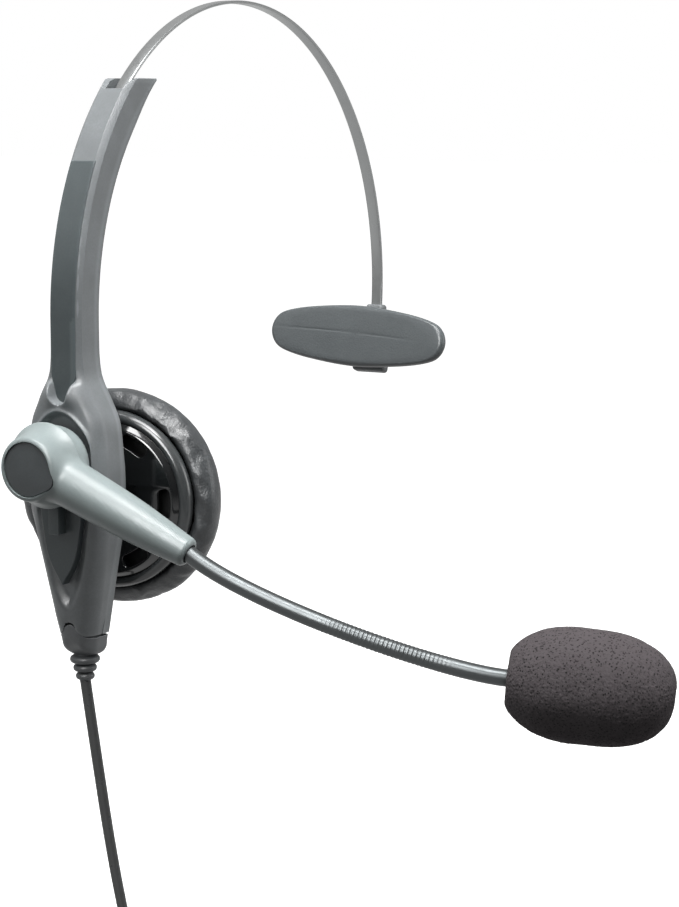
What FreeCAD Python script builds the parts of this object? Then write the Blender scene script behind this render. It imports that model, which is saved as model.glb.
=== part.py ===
"""Monaural wired office headset: one ear cup, temple pad, boom microphone.

Millimetres, +Z up. The origin is the centre of the headband's arch, where the
wearer's head is. The ear cup is on -X, the temple pad on +X, and the wearer
looks along -Y. Angles on the arch are measured from +X towards +Z, so 90 is
the apex and 180 is level with the origin on the ear side.
"""
import FreeCAD, Part
import math
import os

V = FreeCAD.Vector
X_AXIS, Y_AXIS, Z_AXIS = V(1, 0, 0), V(0, 1, 0), V(0, 0, 1)
ORIGIN = V(0, 0, 0)

# Headband strip: spring steel, one arc, split at the apex where it flexes
BAND_R = 75.0
BAND_THICK = 0.8
BAND_WIDTH = 3.4
BAND_TAIL, BAND_END = 186.0, -19.2
APEX = 90.0
FLEX_GAP = 0.5

# Arm: the curved sleeve that the strip slides in
ARM_INNER, ARM_OUTER = 69.6, 77.95
ARM_HALF = 4.4
ARM_TOP_Z = 55.5
CHANNEL_INNER, CHANNEL_OUTER, CHANNEL_HALF = 71.1, 77.0, 2.6
SLIDER_HALF = 2.4
CHANNEL_FOOT = 191.0
SPLIT_R = 71.1
SEAM = 0.1
INLAY_INNER, INLAY_OUTER, INLAY_HALF = 77.45, 78.15, 3.45
INLAY_FROM, NOTCH_Z = 151.9, -14.9

# Housing: (height, half width) down the side outline, and its two faces
OUTLINE = [(-4, 4.4), (-9, 4.55), (-13, 5.3), (-17.7, 7.6), (-22.5, 9.8), (-28, 10.6), (-36, 11.05),
           (-46, 10.4), (-58, 8.0), (-70, 5.6), (-78.5, 3.8)]
OUTER_FACE = [(-77.95, 3.0), (-77.95, -10.5), (-80.4, -14.0), (-80.4, -35.0), (-77.4, -79.0)]
CROWN_X, CROWN_R = -80.4, 31.0
INNER_FACE = [(-69.6, 3.0), (-69.6, -30.0), (-67.9, -79.0)]
WALL = 1.5
CAP_SPLIT_Z = -74.3
CAP_TONGUE_Z, CAP_TONGUE_HALF = -70.2, 3.3
RECESS_DEPTH = 2.2
RECESS = [(-22.5, 4.8), (-29, 8.2), (-43, 7.3), (-57, 5.0), (-64, 2.6)]
RECESS_TOP, RECESS_FOOT = -20.0, -66.5
SCREW_ZS = (-21.5, -65.0)
SCREW_R, SCREW_HEAD_R, SCREW_HEAD = 0.9, 1.8, 1.0
BOSS_R = 2.3

# Boom: hub on the X axis through HUB, arm forwards and down to ARM_TIP
HUB_Z = -31.8
HUB_FOOT_X, HUB_END_X = -80.4, -93.0
PLATE_X = -80.0
BUSH_R, SPINDLE_R, RUNNING_FIT = 4.4, 3.0, 0.05
CAP_R, CAP_DEPTH = 6.0, 1.2
STOP_HALF, STOP_TOP, STOP_FOOT, STOP_X = 1.35, -41.8, -48.3, -83.0
ARM_ROOT, ARM_TIP = V(-87, 0, HUB_Z), V(-84, -37.5, -49)

# Gooseneck: a cubic curve from the arm's tip to the microphone
NECK = [ARM_TIP, V(-84.8, -53.0, -58.5), V(-70.7, -97.0, -72.7), V(-64.0, -107.6, -73.2)]
NECK_R = 1.9
NECK_LINKS = 6
NECK_GAP = 0.3
NECK_SOCKET = 7.0

# Microphone: its axis runs on from the gooseneck
FOAM_CENTRE = V(-58.2, -122.2, -74.6)
FOAM_R, FOAM_LENGTH, FOAM_ROUND = 12.75, 37.5, 9.5
MIC_R, MIC_LENGTH = 4.2, 14.0

# Ear cup: turned parts about the cup's axis, distances from the swivel ball
BALL = V(-63.7, 0, -43.3)
CUP_YAW = 7.0
BALL_R, RACE_R, STEM_R = 3.2, 4.9, 1.7
CUP_R, CUSHION_R, CUSHION_HOLE_R = 21.4, 25.6, 10.0
CUSHION_BACK, CUSHION_FRONT = 5.0, 20.0
SLOT_COUNT, SLOT_INNER, SLOT_OUTER, SLOT_HALF_TURN = 6, 13.8, 17.0, 13.0
RIM_INNER = 18.9

# Temple pad: built level at +X, then turned down the arch
PAD_TURN = 12.6
PAD_FACE_R, PAD_THICK = 63.9, 3.7
PAD_OUTLINE = [(0, 8.7), (15, 7.8), (23.5, 5.6), (26.6, 3.0)]
PAD_HALF_LENGTH, PAD_DROP = 27.7, -0.65
PIN_R, PAD_PIN_R = 71.0, 0.9

# Cord: flat twin lead, drawn as a round tube between its width and its thickness
CORD_D = 2.4
RELIEF_X = -71.35
LEAD_ROUTE = [V(RELIEF_X, 0, -84.9), V(-67.9, 0, -101.5), V(-61.2, 0, -132),
              V(-56.0, -1.5, -156), V(-54.0, -5, -174)]
TAIL_ROUTE = [V(-46.5, 8.7, -178), V(-46.5, 8.7, -158.7), V(-41, -9.8, -158.7), V(-41, -9.8, -178)]
HANK_X, HANK_THICK = -50.5, 11.6
HANK_TOP, HANK_FOOT, HANK_ROUND = -181.0, -221.0, 10.2
TIE_LOW, TIE_HIGH, TIE_THICK = -205.0, -197.0, 0.8
PLUG = V(-41, -9.8, -184)
PLUG_X, PLUG_Y, PLUG_LENGTH = 7.2, 11.0, 38.0
SOCKET_R, SOCKET_DEPTH = 2.5, 8.0
CONTACT_ROOM_R, CONTACT_LENGTH = 2.1, 1.5


def save(name, shape):
    if not shape.isValid():
        raise ValueError(name + " is not a valid shape")
    shape.exportStep("parts/" + name + ".step")


def polar(radius, degrees, y=0.0):
    turn = math.radians(degrees)
    return V(radius * math.cos(turn), y, radius * math.sin(turn))


def arc_block(inner, outer, half, start, end):
    """Block that follows the arch from one angle to another."""
    corners = [polar(inner, start, -half), polar(outer, start, -half),
               polar(outer, start, half), polar(inner, start, half)]
    face = Part.Face(Part.makePolygon(corners + corners[:1]))
    return face.revolve(ORIGIN, V(0, -1, 0), end - start)


def turned(profile, base=ORIGIN, along=Z_AXIS):
    """Solid of revolution from (radius, distance along the axis) corners."""
    corners = [V(radius, 0, distance) for radius, distance in profile]
    face = Part.Face(Part.makePolygon(corners + corners[:1]))
    solid = face.revolve(ORIGIN, Z_AXIS, 360)
    solid.Placement = FreeCAD.Placement(base, FreeCAD.Rotation(Z_AXIS, along))
    return solid


def rod(radius, length, base, along):
    return Part.makeCylinder(radius, length, base, along)


def ring(inner, outer, length, base, along):
    return rod(outer, length, base, along).cut(rod(inner, length, base, along))


def block(low, high):
    return Part.makeBox(high[0] - low[0], high[1] - low[1], high[2] - low[2], V(*low))


def side_prism(profile, half):
    """Extrude a side view of (x, z) corners across the width."""
    corners = [V(x, -half, z) for x, z in profile]
    face = Part.Face(Part.makePolygon(corners + corners[:1]))
    return face.extrude(V(0, 2 * half, 0))


def smooth_edge(points):
    curve = Part.BSplineCurve()
    curve.interpolate(points)
    return curve.toShape()


def mirrored_face(points, x):
    """Face in the plane x from (height, half width) points, mirrored in y."""
    right = [V(x, half, z) for z, half in points]
    left = [V(x, -half, z) for z, half in points]
    edges = [smooth_edge(right), smooth_edge(left)]
    if points[0][1] > 0:
        edges.append(Part.makeLine(right[0], left[0]))
    if points[-1][1] > 0:
        edges.append(Part.makeLine(right[-1], left[-1]))
    return Part.Face(Part.Wire(Part.__sortEdges__(edges)))


def egg_face(top, points, foot, x):
    """Round-ended outline through the (height, half width) points."""
    right = [V(x, half, z) for z, half in points]
    left = [V(x, -half, z) for z, half in reversed(points)]
    curve = Part.BSplineCurve()
    curve.interpolate([V(x, 0, top)] + right + [V(x, 0, foot)] + left, PeriodicFlag=True)
    return Part.Face(Part.Wire(curve.toShape()))


# ---------------------------------------------------------------- housing

def housing_block():
    outline = mirrored_face(OUTLINE, -82.0).extrude(V(16, 0, 0))
    sides = side_prism(OUTER_FACE + INNER_FACE[::-1], 14)
    crown = rod(CROWN_R, 90, V(CROWN_X + CROWN_R, 0, -85), Z_AXIS)
    return outline.common(sides).common(crown)


def arm_block():
    arm = arc_block(ARM_INNER, ARM_OUTER, ARM_HALF, 125, 194.5)
    return arm.cut(block((-90, -10, ARM_TOP_Z), (0, 10, 90)))


def housing_hollow():
    """Room inside the housing, less the two screw bosses."""
    inset = [(z, half - WALL) for z, half in OUTLINE if -70 <= z <= -20]
    plan = mirrored_face([(-19.6, 3.2)] + inset, -82.0).extrude(V(16, 0, 0))
    wall = WALL + RECESS_DEPTH
    outer = [(x + wall, z) for x, z in OUTER_FACE]
    inner = [(x - 1.2, z) for x, z in INNER_FACE]
    hollow = plan.common(side_prism(outer + inner[::-1], 14))
    for z in SCREW_ZS:
        hollow = hollow.cut(rod(BOSS_R, 20, V(-82, 0, z), X_AXIS))
    return hollow


def cap_region():
    below = block((-82, -12, -90), (-60, 12, CAP_SPLIT_Z))
    tongue_height = CAP_TONGUE_Z - CAP_SPLIT_Z
    oval = Part.Ellipse(V(-82, 0, CAP_SPLIT_Z + tongue_height), V(-82, CAP_TONGUE_HALF, CAP_SPLIT_Z),
                        V(-82, 0, CAP_SPLIT_Z))
    tongue = Part.Face(Part.Wire(oval.toShape())).extrude(V(8.2, 0, 0))
    return below.fuse(tongue)


def inner_region(radius):
    """Everything on the wearer's side of the seam between the shells."""
    return rod(radius, 40, V(0, -20, 0), Y_AXIS).fuse(block((-radius, -20, -95), (0, 20, 0)))


def plate_face(x, clearance=0.0):
    """Island under the hub: round at the top, pointed at the foot."""
    outline = [(-24.0 + clearance, 0), (-26.5, 5.0 + clearance), (-34, 6.6 + clearance),
               (-44, 5.6 + clearance), (-54, 3.7 + clearance), (-60.5 - clearance, 0)]
    return mirrored_face(outline, x)


def inlay_foot(outer):
    """Straight lower end of the inlay, with a round foot, out to the given reach."""
    foot = block((-outer, -INLAY_HALF, NOTCH_Z), (-INLAY_INNER, INLAY_HALF, 0))
    return foot.fuse(rod(INLAY_HALF, outer - INLAY_INNER, V(-outer, 0, NOTCH_Z), X_AXIS))


def make_housing():
    body = housing_block().fuse(arm_block()).removeSplitter()
    body = body.cut(arc_block(CHANNEL_INNER, CHANNEL_OUTER, CHANNEL_HALF, 120, CHANNEL_FOOT))
    body = body.cut(housing_hollow())

    recess = egg_face(RECESS_TOP, RECESS, RECESS_FOOT, -86).extrude(V(16, 0, 0))
    recess = recess.common(side_prism([(-90, 3), (-90, -79)] + recess_floor()[::-1], 14))
    body = body.cut(recess)

    inlay = arc_block(INLAY_INNER, INLAY_OUTER, INLAY_HALF, INLAY_FROM, 180)
    inlay = inlay.fuse(inlay_foot(INLAY_OUTER)).removeSplitter()
    body = body.cut(inlay).cut(inlay_foot(INLAY_OUTER + 4))

    cap_zone = cap_region()
    cap = body.common(cap_zone)
    shell = body.cut(cap_zone)
    relief_bore = rod(2.2, 8, V(RELIEF_X, 0, -79), Z_AXIS)
    cap = cap.cut(relief_bore)
    shell = shell.cut(relief_bore)

    bush_hole = rod(BUSH_R, 12, V(-84, 0, HUB_Z), X_AXIS)
    shell = shell.cut(bush_hole)
    stem_hole = rod(STEM_R, 8, V(-73, 0, BALL.z), X_AXIS)
    shell = shell.cut(stem_hole)
    screws = Part.makeCompound([shell_screw(z) for z in SCREW_ZS])
    outer = shell.cut(inner_region(SPLIT_R)).cut(screws)
    inner = shell.common(inner_region(SPLIT_R - SEAM)).cut(screws)
    for z in SCREW_ZS:
        inner = inner.cut(rod(SCREW_HEAD_R, 4, V(-69.9, 0, z), X_AXIS))

    save("outer_shell", outer)
    save("inner_shell", inner)
    save("arm_inlay", inlay)
    save("bottom_cap", cap)
    save("shell_screws", screws)


def shell_screw(z):
    head = rod(SCREW_HEAD_R, SCREW_HEAD, V(-69.9, 0, z), X_AXIS)
    shank = rod(SCREW_R, 5.2, V(-75.1, 0, z), X_AXIS)
    return head.fuse(shank)


def recess_floor():
    return [(x + RECESS_DEPTH, z) for x, z in OUTER_FACE]


def make_boom_seat():
    """Fixed plate, stop block and bush that the boom turns on."""
    front = [(PLATE_X, 3), (PLATE_X, -44), (PLATE_X + 0.6, -62)]
    plate = plate_face(-86).extrude(V(14, 0, 0)).common(side_prism(front + recess_floor()[::-1], 14))
    stop = block((STOP_X, -STOP_HALF, STOP_FOOT), (PLATE_X + 0.5, STOP_HALF, STOP_TOP))
    plate = plate.fuse(stop).removeSplitter()
    bush_x, bush_length = PLATE_X + 0.1, 4.8
    save("boom_plate", plate.cut(rod(BUSH_R, 14, V(-84, 0, HUB_Z), X_AXIS)))
    save("boom_bush", ring(SPINDLE_R + RUNNING_FIT, BUSH_R, bush_length, V(bush_x, 0, HUB_Z), X_AXIS))


def make_housing_insides():
    board = block((-72.4, -4.5, -61), (-71.4, 4.5, -49))
    pads = [block((-72.9, y - 0.8, -60), (-72.4, y + 0.8, -57)) for y in (-3, -1, 1, 3)]
    save("terminal_board", board.multiFuse(pads))
    leaf = arc_block(76.3, 76.7, 1.6, 150, 163)
    save("detent_spring", leaf.fuse(arc_block(75.8, 76.3, 1.0, 155.5, 157.5)))
    stem = rod(STEM_R, 9.5, V(BALL.x - 9.5, 0, BALL.z), X_AXIS).fuse(Part.makeSphere(BALL_R, BALL))
    foot = rod(3.2, 0.9, V(-71.3, 0, BALL.z), X_AXIS)
    save("swivel_stem", stem.fuse(foot))


def make_strain_relief():
    profile = [(0, -76), (2.2, -76), (2.2, -78.5), (3.0, -78.6)]
    for z, radius in ((-79.6, 3.55), (-81.8, 2.8), (-83.8, 2.25)):
        profile += [(radius, z + 0.5), (radius, z - 0.5), (radius - 1.0, z - 0.9)]
    profile += [(1.25, -84.9), (0, -84.9)]
    save("strain_relief", turned(profile, V(RELIEF_X, 0, 0)))


# --------------------------------------------------------------- headband

def band_piece(start, end):
    half_thick = BAND_THICK / 2
    return arc_block(BAND_R - half_thick, BAND_R + half_thick, BAND_WIDTH / 2, start, end)


def make_headband():
    rivet_angles = (180.0, 184.0)
    rivets = []
    for angle in rivet_angles:
        foot = polar(CHANNEL_INNER + 1.0, angle)
        rivets.append(rod(0.6, BAND_R + BAND_THICK / 2 - CHANNEL_INNER - 1.0, foot, polar(1, angle)))
    rivets = Part.makeCompound(rivets)
    near = band_piece(APEX + FLEX_GAP / 2, BAND_TAIL)
    slider = arc_block(CHANNEL_INNER + 0.4, BAND_R - BAND_THICK / 2, SLIDER_HALF, 178, BAND_TAIL)
    save("headband_near", near.cut(rivets))
    save("slider_block", slider.cut(rivets))
    save("slider_rivets", rivets)
    save("headband_far", band_piece(BAND_END, APEX - FLEX_GAP / 2))


def make_band_end():
    """Moulded clip on the strip's end, with the lug that holds the pad."""
    clip = arc_block(BAND_R - 1.9, BAND_R + 1.6, 5.0, -20.2, -9.5)
    clip = clip.fuse(arc_block(BAND_R - 1.9, BAND_R + 1.6, 2.7, -9.5, -5.0))
    clip = clip.cut(arc_block(BAND_R - 0.4, BAND_R + 0.4, BAND_WIDTH / 2, BAND_END, 0))
    lug = block((PIN_R - 1.5, -2.2, -1.6), (BAND_R - 1.4, 2.2, 1.6))
    lug.rotate(ORIGIN, Y_AXIS, PAD_TURN)
    pin_hole = rod(PAD_PIN_R + RUNNING_FIT, 12, polar(PIN_R, -PAD_TURN, -6), Y_AXIS)
    save("band_end_clip", clip.fuse(lug).removeSplitter().cut(pin_hole))


# -------------------------------------------------------------- temple pad

def pad_face(x):
    right = [V(x, y, half) for y, half in PAD_OUTLINE]
    upper = [V(x, -y, half) for y, half in reversed(PAD_OUTLINE[1:])] + right
    lower = [V(x, p.y, -p.z) for p in reversed(upper)]
    tips = [V(x, -PAD_HALF_LENGTH, 0), V(x, PAD_HALF_LENGTH, 0)]
    curve = Part.BSplineCurve()
    curve.interpolate([tips[0]] + upper + [tips[1]] + lower, PeriodicFlag=True)
    face = Part.Face(Part.Wire(curve.toShape()))
    face.translate(V(0, 0, PAD_DROP))
    return face


def make_temple_pad():
    pad = pad_face(PAD_FACE_R).extrude(V(PAD_THICK, 0, 0))
    plate_x = PAD_FACE_R + PAD_THICK
    plate = block((plate_x, -9, -6.5), (plate_x + 1.2, 9, 5.5))
    lugs = [block((plate_x + 0.6, y, -1.5), (PIN_R + 1.4, y + 1.4, 1.5)) for y in (-3.9, 2.5)]
    carrier = plate.multiFuse(lugs).removeSplitter()
    pin = rod(PAD_PIN_R, 8.4, V(PIN_R, -4.2, 0), Y_AXIS)
    carrier = carrier.cut(pin)
    for shape in (pad, carrier, pin):
        shape.rotate(ORIGIN, Y_AXIS, PAD_TURN)
    save("temple_pad", pad)
    save("pad_carrier", carrier)
    save("pad_pin", pin)


# ----------------------------------------------------------------- ear cup

def cup_part(profile):
    """Turned part on the cup's axis, which leans by the cup's yaw."""
    solid = turned(profile, BALL, X_AXIS)
    solid.rotate(BALL, Z_AXIS, CUP_YAW)
    return solid


def cup_slot(index):
    """Kidney-shaped vent through the cup's back."""
    inner = turned([(SLOT_INNER, 0), (SLOT_OUTER, 0), (SLOT_OUTER, 6), (SLOT_INNER, 6)], BALL, X_AXIS)
    far = 30 * math.tan(math.radians(SLOT_HALF_TURN))
    corners = [V(-2, 0, 0), V(-2, -far, 30), V(-2, far, 30)]
    wedge = Part.Face(Part.makePolygon(corners + corners[:1])).extrude(V(12, 0, 0))
    wedge.translate(BALL)
    slot = inner.common(wedge)
    slot.rotate(BALL, X_AXIS, 360.0 * index / SLOT_COUNT)
    slot.rotate(BALL, Z_AXIS, CUP_YAW)
    return slot


def make_cup_back():
    socket_r, socket_back = 6.0, -2.9
    plateau, floor = 1.9, 3.1
    profile = [(0, plateau), (17.6, plateau), (RIM_INNER, 3.1), (CUP_R - 1.2, 4.0), (CUP_R - 1.2, 5.4),
               (18.4, 5.4), (16.7, floor), (0, floor)]
    back = cup_part(profile)
    socket = cup_part([(0, socket_back), (socket_r, socket_back), (socket_r, 3.0), (0, 3.0)])
    race_room = Part.makeSphere(RACE_R + RUNNING_FIT, BALL)
    back = back.fuse(socket).removeSplitter().cut(race_room)
    back = back.fuse(cup_part([(0, 4.96), (socket_r, 4.96), (socket_r, floor), (0, floor)]).cut(race_room))
    for index in range(SLOT_COUNT):
        back = back.cut(cup_slot(index + 0.5))
    save("cup_back", back.removeSplitter())


def make_ear_cup():
    make_cup_back()
    save("race_retainer", cup_part([(3.9, -3.5), (5.7, -3.5), (5.7, -2.9), (4.02, -2.9)]))
    save("cup_rim", cup_part([(RIM_INNER, 3.1), (RIM_INNER, 2.7), (20.2, 2.8), (CUP_R, 3.7), (CUP_R, 5.4),
                              (20.8, 6.0), (20.8, 11.6), (CUP_R - 1.2, 11.6), (CUP_R - 1.2, 4.0)]))
    save("speaker_frame", cup_part([(9.4, 5.4), (20.1, 5.4), (20.1, 9.6), (16.4, 9.6), (15.0, 6.8),
                                    (9.4, 6.8)]))
    save("speaker_magnet", cup_part([(0, 5.1), (9.3, 5.1), (9.3, 7.6), (0, 7.6)]))
    save("diaphragm", cup_part([(0, 8.2), (8.0, 8.2), (16.0, 9.7), (20.0, 9.7), (20.0, 10.0),
                                (15.9, 10.0), (7.9, 8.5), (0, 8.5)]))
    save("damping_felt", cup_part([(0, 10.1), (20.0, 10.1), (20.0, 10.6), (0, 10.6)]))
    grille = cup_part([(0, 10.7), (20.1, 10.7), (20.1, 11.6), (0, 11.6)])
    for radius in (3.0, 6.0, 9.0):
        for index in range(round(radius * 2)):
            turn = 2 * math.pi * index / round(radius * 2)
            spot = BALL + V(5, radius * math.cos(turn), radius * math.sin(turn))
            hole = rod(0.9, 12, spot, X_AXIS)
            hole.rotate(BALL, Z_AXIS, CUP_YAW)
            grille = grille.cut(hole)
    save("speaker_grille", grille)
    save("ear_cushion", cup_part([
        (20.9, 6.5), (21.8, CUSHION_BACK), (23.4, CUSHION_BACK), (CUSHION_R - 0.8, 6.8), (CUSHION_R, 9.0),
        (CUSHION_R, 13.5), (24.2, 17.4), (20.6, CUSHION_FRONT), (14.0, CUSHION_FRONT),
        (11.0, 18.4), (CUSHION_HOLE_R, 16.0), (CUSHION_HOLE_R, 11.7), (20.9, 11.7)]))


def make_swivel_race():
    race = Part.makeSphere(RACE_R, BALL).cut(Part.makeSphere(BALL_R + RUNNING_FIT, BALL))
    keep = turned([(0, -1.9), (8, -1.9), (8, 2.3), (0, 2.3)], BALL, X_AXIS)
    keep.rotate(BALL, Z_AXIS, CUP_YAW)
    save("swivel_race", race.common(keep))


# -------------------------------------------------------------------- boom

def make_boom():
    centre = V(0, 0, HUB_Z)
    side = [(HUB_FOOT_X, 8.5), (-81.4, 8.9), (-84.9, 8.9), (-85.2, 9.8), (-85.7, 10.1), (-87.0, 9.2),
            (-89.0, 8.3), (-92.2, 7.4), (HUB_END_X, 6.8)]
    hub = turned([(0, HUB_FOOT_X)] + [(r, x) for x, r in side] + [(0, HUB_END_X)], centre, X_AXIS)
    along = ARM_TIP - ARM_ROOT
    arm = turned([(0, 0), (5.6, 0), (5.3, 16), (4.9, 25), (4.3, 32), (3.5, 39), (2.9, along.Length),
                  (0, along.Length)], ARM_ROOT, along)
    boom = hub.fuse(arm).removeSplitter()
    boom = boom.cut(rod(CAP_R + 0.05, 5, V(HUB_END_X + CAP_DEPTH - 5, 0, HUB_Z), X_AXIS))
    boom = boom.cut(rod(SPINDLE_R, 20, V(-88, 0, HUB_Z), X_AXIS))
    boom = boom.cut(rod(NECK_R, NECK_SOCKET + 5, ARM_TIP - along.normalize() * NECK_SOCKET, along))
    save("boom_arm", boom)
    save("hub_cap", rod(CAP_R, CAP_DEPTH - 0.2, V(HUB_END_X + 0.2, 0, HUB_Z), X_AXIS))
    spindle = rod(SPINDLE_R, 13.0, V(-88, 0, HUB_Z), X_AXIS)
    screw_hole = rod(0.9, 8, V(-82, 0, HUB_Z), X_AXIS)
    save("hub_spindle", spindle.cut(screw_hole))
    save("friction_washer", ring(0.9, 5.4, 0.5, V(-75.0, 0, HUB_Z), X_AXIS))
    screw_head = rod(2.2, 1.2, V(-74.5, 0, HUB_Z), X_AXIS)
    save("spindle_screw", rod(0.9, 6.5, V(-81, 0, HUB_Z), X_AXIS).fuse(screw_head))


# --------------------------------------------------- gooseneck, microphone

def neck_point(t):
    weights = ((1 - t) ** 3, 3 * (1 - t) ** 2 * t, 3 * (1 - t) * t * t, t ** 3)
    point = V(0, 0, 0)
    for weight, control in zip(weights, NECK):
        point = point + control * weight
    return point


def neck_joints():
    """Points that part the gooseneck into links of equal length."""
    steps = 600
    points = [neck_point(i / steps) for i in range(steps + 1)]
    travelled = [0.0]
    for a, b in zip(points, points[1:]):
        travelled.append(travelled[-1] + (b - a).Length)
    joints = []
    for link in range(NECK_LINKS + 1):
        target = travelled[-1] * link / NECK_LINKS
        nearest = min(range(steps + 1), key=lambda i: abs(travelled[i] - target))
        joints.append(points[nearest])
    return joints


def make_gooseneck():
    joints = neck_joints()
    for number, (start, end) in enumerate(zip(joints, joints[1:]), 1):
        along = (end - start).normalize()
        length = (end - start).Length
        dome = NECK_R + NECK_GAP / 2
        first = 0.0 if number == 1 else dome
        last = length if number == NECK_LINKS else length - dome
        link = rod(NECK_R, last - first, start + along * first, along)
        if number > 1:
            link = link.fuse(Part.makeSphere(NECK_R, start + along * first))
        if number < NECK_LINKS:
            link = link.fuse(Part.makeSphere(NECK_R, start + along * last))
        if number == 1:
            root = (ARM_TIP - ARM_ROOT).normalize()
            link = link.fuse(rod(NECK_R, NECK_SOCKET, ARM_TIP - root * NECK_SOCKET, root))
        save("gooseneck_%d" % number, link.removeSplitter())
        print("gooseneck joint", number, [round(v, 2) for v in start])


def make_microphone():
    start = NECK[-1]
    axis = (FOAM_CENTRE - start).normalize()
    half, bend = FOAM_LENGTH / 2, FOAM_ROUND
    case = rod(MIC_R, MIC_LENGTH, start, axis)
    capsule_base = start + axis * (MIC_LENGTH - 5)
    capsule = rod(3.0, 4.6, capsule_base, axis)
    save("mic_case", case.cut(rod(3.0, 8, capsule_base, axis)))
    save("mic_capsule", capsule)
    foam = rod(FOAM_R, FOAM_LENGTH, FOAM_CENTRE - axis * half, axis)
    foam = foam.makeFillet(bend, [e for e in foam.Edges if e.Length < 90 and e.Closed])
    foam = foam.cut(rod(MIC_R, MIC_LENGTH, start, axis))
    entry = start - axis * 6
    save("mic_windscreen", foam.cut(rod(NECK_R + 0.1, 6, entry, axis)).cut(last_link_room()))


def last_link_room():
    """Room in the foam for the gooseneck's last link, which meets it at a slight angle."""
    joints = neck_joints()
    along = (joints[-1] - joints[-2]).normalize()
    return rod(NECK_R, 14, joints[-1] - along * 14, along)


# -------------------------------------------------------------------- cord

def cord_tube(name, route):
    """Straight runs joined by tangent arcs, each as large as its runs allow."""
    edges = []
    start = route[0]
    for before, corner, after in zip(route, route[1:], route[2:]):
        back = (before - corner)
        ahead = (after - corner)
        shorter = min(back.Length, ahead.Length)
        back.normalize()
        ahead.normalize()
        turn = math.pi - back.getAngle(ahead)
        reach = 0.45 * shorter
        radius = reach / math.tan(turn / 2)
        print(name, "radius", round(radius, 1), "turn", round(math.degrees(turn), 1))
        middle = (back + ahead).normalize()
        centre = corner + middle * math.hypot(reach, radius)
        enter, leave = corner + back * reach, corner + ahead * reach
        edges.append(Part.makeLine(start, enter))
        edges.append(Part.Arc(enter, centre - middle * radius, leave).toShape())
        start = leave
    edges.append(Part.makeLine(start, route[-1]))
    path = Part.Wire(edges)
    section = Part.Wire(Part.makeCircle(CORD_D / 2, route[0], route[1] - route[0]))
    tube = path.makePipeShell([section], True, False)
    expected = math.pi * CORD_D ** 2 / 4 * path.Length
    print(name, "length", round(path.Length, 1), "volume ratio", round(tube.Volume / expected, 3))
    save(name, tube)


def make_cord():
    cord_tube("cord_lead", LEAD_ROUTE)
    cord_tube("cord_tail", TAIL_ROUTE)
    low_x = HANK_X - HANK_THICK / 2
    hank = block((low_x, -HANK_ROUND, HANK_FOOT), (low_x + HANK_THICK, HANK_ROUND, HANK_TOP))
    for z in (HANK_TOP, HANK_FOOT):
        hank = hank.fuse(rod(HANK_ROUND, HANK_THICK, V(low_x, 0, z), X_AXIS))
    save("cord_hank", hank.removeSplitter())
    low = V(low_x, PLUG.y - PLUG_Y / 2, TIE_LOW)
    high = V(PLUG.x + PLUG_X / 2, HANK_ROUND, TIE_HIGH)
    skin = V(TIE_THICK, TIE_THICK, 0)
    save("hank_tie", block(low - skin, high + skin).cut(block(low, high)))


def make_connector():
    low = V(PLUG.x - PLUG_X / 2, PLUG.y - PLUG_Y / 2, PLUG.z - PLUG_LENGTH)
    body = Part.makeBox(PLUG_X, PLUG_Y, PLUG_LENGTH, low)
    body = body.makeChamfer(1.0, [e for e in body.Edges if abs(e.tangentAt(0).z) > 0.9])
    foot = V(PLUG.x, PLUG.y, low.z)
    body = body.cut(rod(SOCKET_R, SOCKET_DEPTH, foot, Z_AXIS))
    contact_z = low.z + SOCKET_DEPTH
    body = body.cut(rod(CONTACT_ROOM_R, CONTACT_LENGTH, V(PLUG.x, PLUG.y, contact_z), Z_AXIS))
    save("connector_body", body)
    contacts = [rod(0.6, CONTACT_LENGTH, V(PLUG.x + dx, PLUG.y + dy, contact_z), Z_AXIS)
                for dx in (-0.9, 0.9) for dy in (-0.9, 0.9)]
    save("connector_contacts", Part.makeCompound(contacts))
    save("connector_boot", turned([(0, 0), (3.2, 0), (2.9, 2.0), (1.7, 6.0), (0, 6.0)], PLUG))


def main():
    os.makedirs("parts", exist_ok=True)
    make_housing()
    make_boom_seat()
    make_housing_insides()
    make_strain_relief()
    make_headband()
    make_band_end()
    make_temple_pad()
    make_swivel_race()
    make_ear_cup()
    make_boom()
    make_gooseneck()
    make_microphone()
    make_cord()
    make_connector()


main()
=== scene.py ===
import math

import bmesh
import bpy
import numpy as np
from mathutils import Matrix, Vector, noise


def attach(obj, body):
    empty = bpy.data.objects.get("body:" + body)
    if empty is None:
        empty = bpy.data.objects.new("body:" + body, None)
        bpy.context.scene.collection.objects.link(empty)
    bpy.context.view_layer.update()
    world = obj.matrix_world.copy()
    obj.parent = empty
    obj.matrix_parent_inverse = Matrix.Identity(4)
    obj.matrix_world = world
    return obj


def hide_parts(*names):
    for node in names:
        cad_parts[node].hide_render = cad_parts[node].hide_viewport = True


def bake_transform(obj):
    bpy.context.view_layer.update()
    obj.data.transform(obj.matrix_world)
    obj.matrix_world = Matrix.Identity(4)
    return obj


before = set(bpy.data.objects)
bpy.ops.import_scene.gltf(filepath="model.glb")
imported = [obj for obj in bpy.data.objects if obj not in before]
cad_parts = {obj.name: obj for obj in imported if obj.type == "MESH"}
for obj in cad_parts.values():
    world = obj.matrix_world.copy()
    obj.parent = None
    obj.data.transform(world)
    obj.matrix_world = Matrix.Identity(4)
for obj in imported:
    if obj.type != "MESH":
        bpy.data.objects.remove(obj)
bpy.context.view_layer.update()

MM, WELD = 0.001, 2e-6
SCALED, CLOTH_FRAMES = 10.0, 20


# ------------------------------------------------------------ mesh helpers

def link(name, data):
    """New object in the scene."""
    piece = bpy.data.objects.new(name, data)
    bpy.context.collection.objects.link(piece)
    return piece


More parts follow.
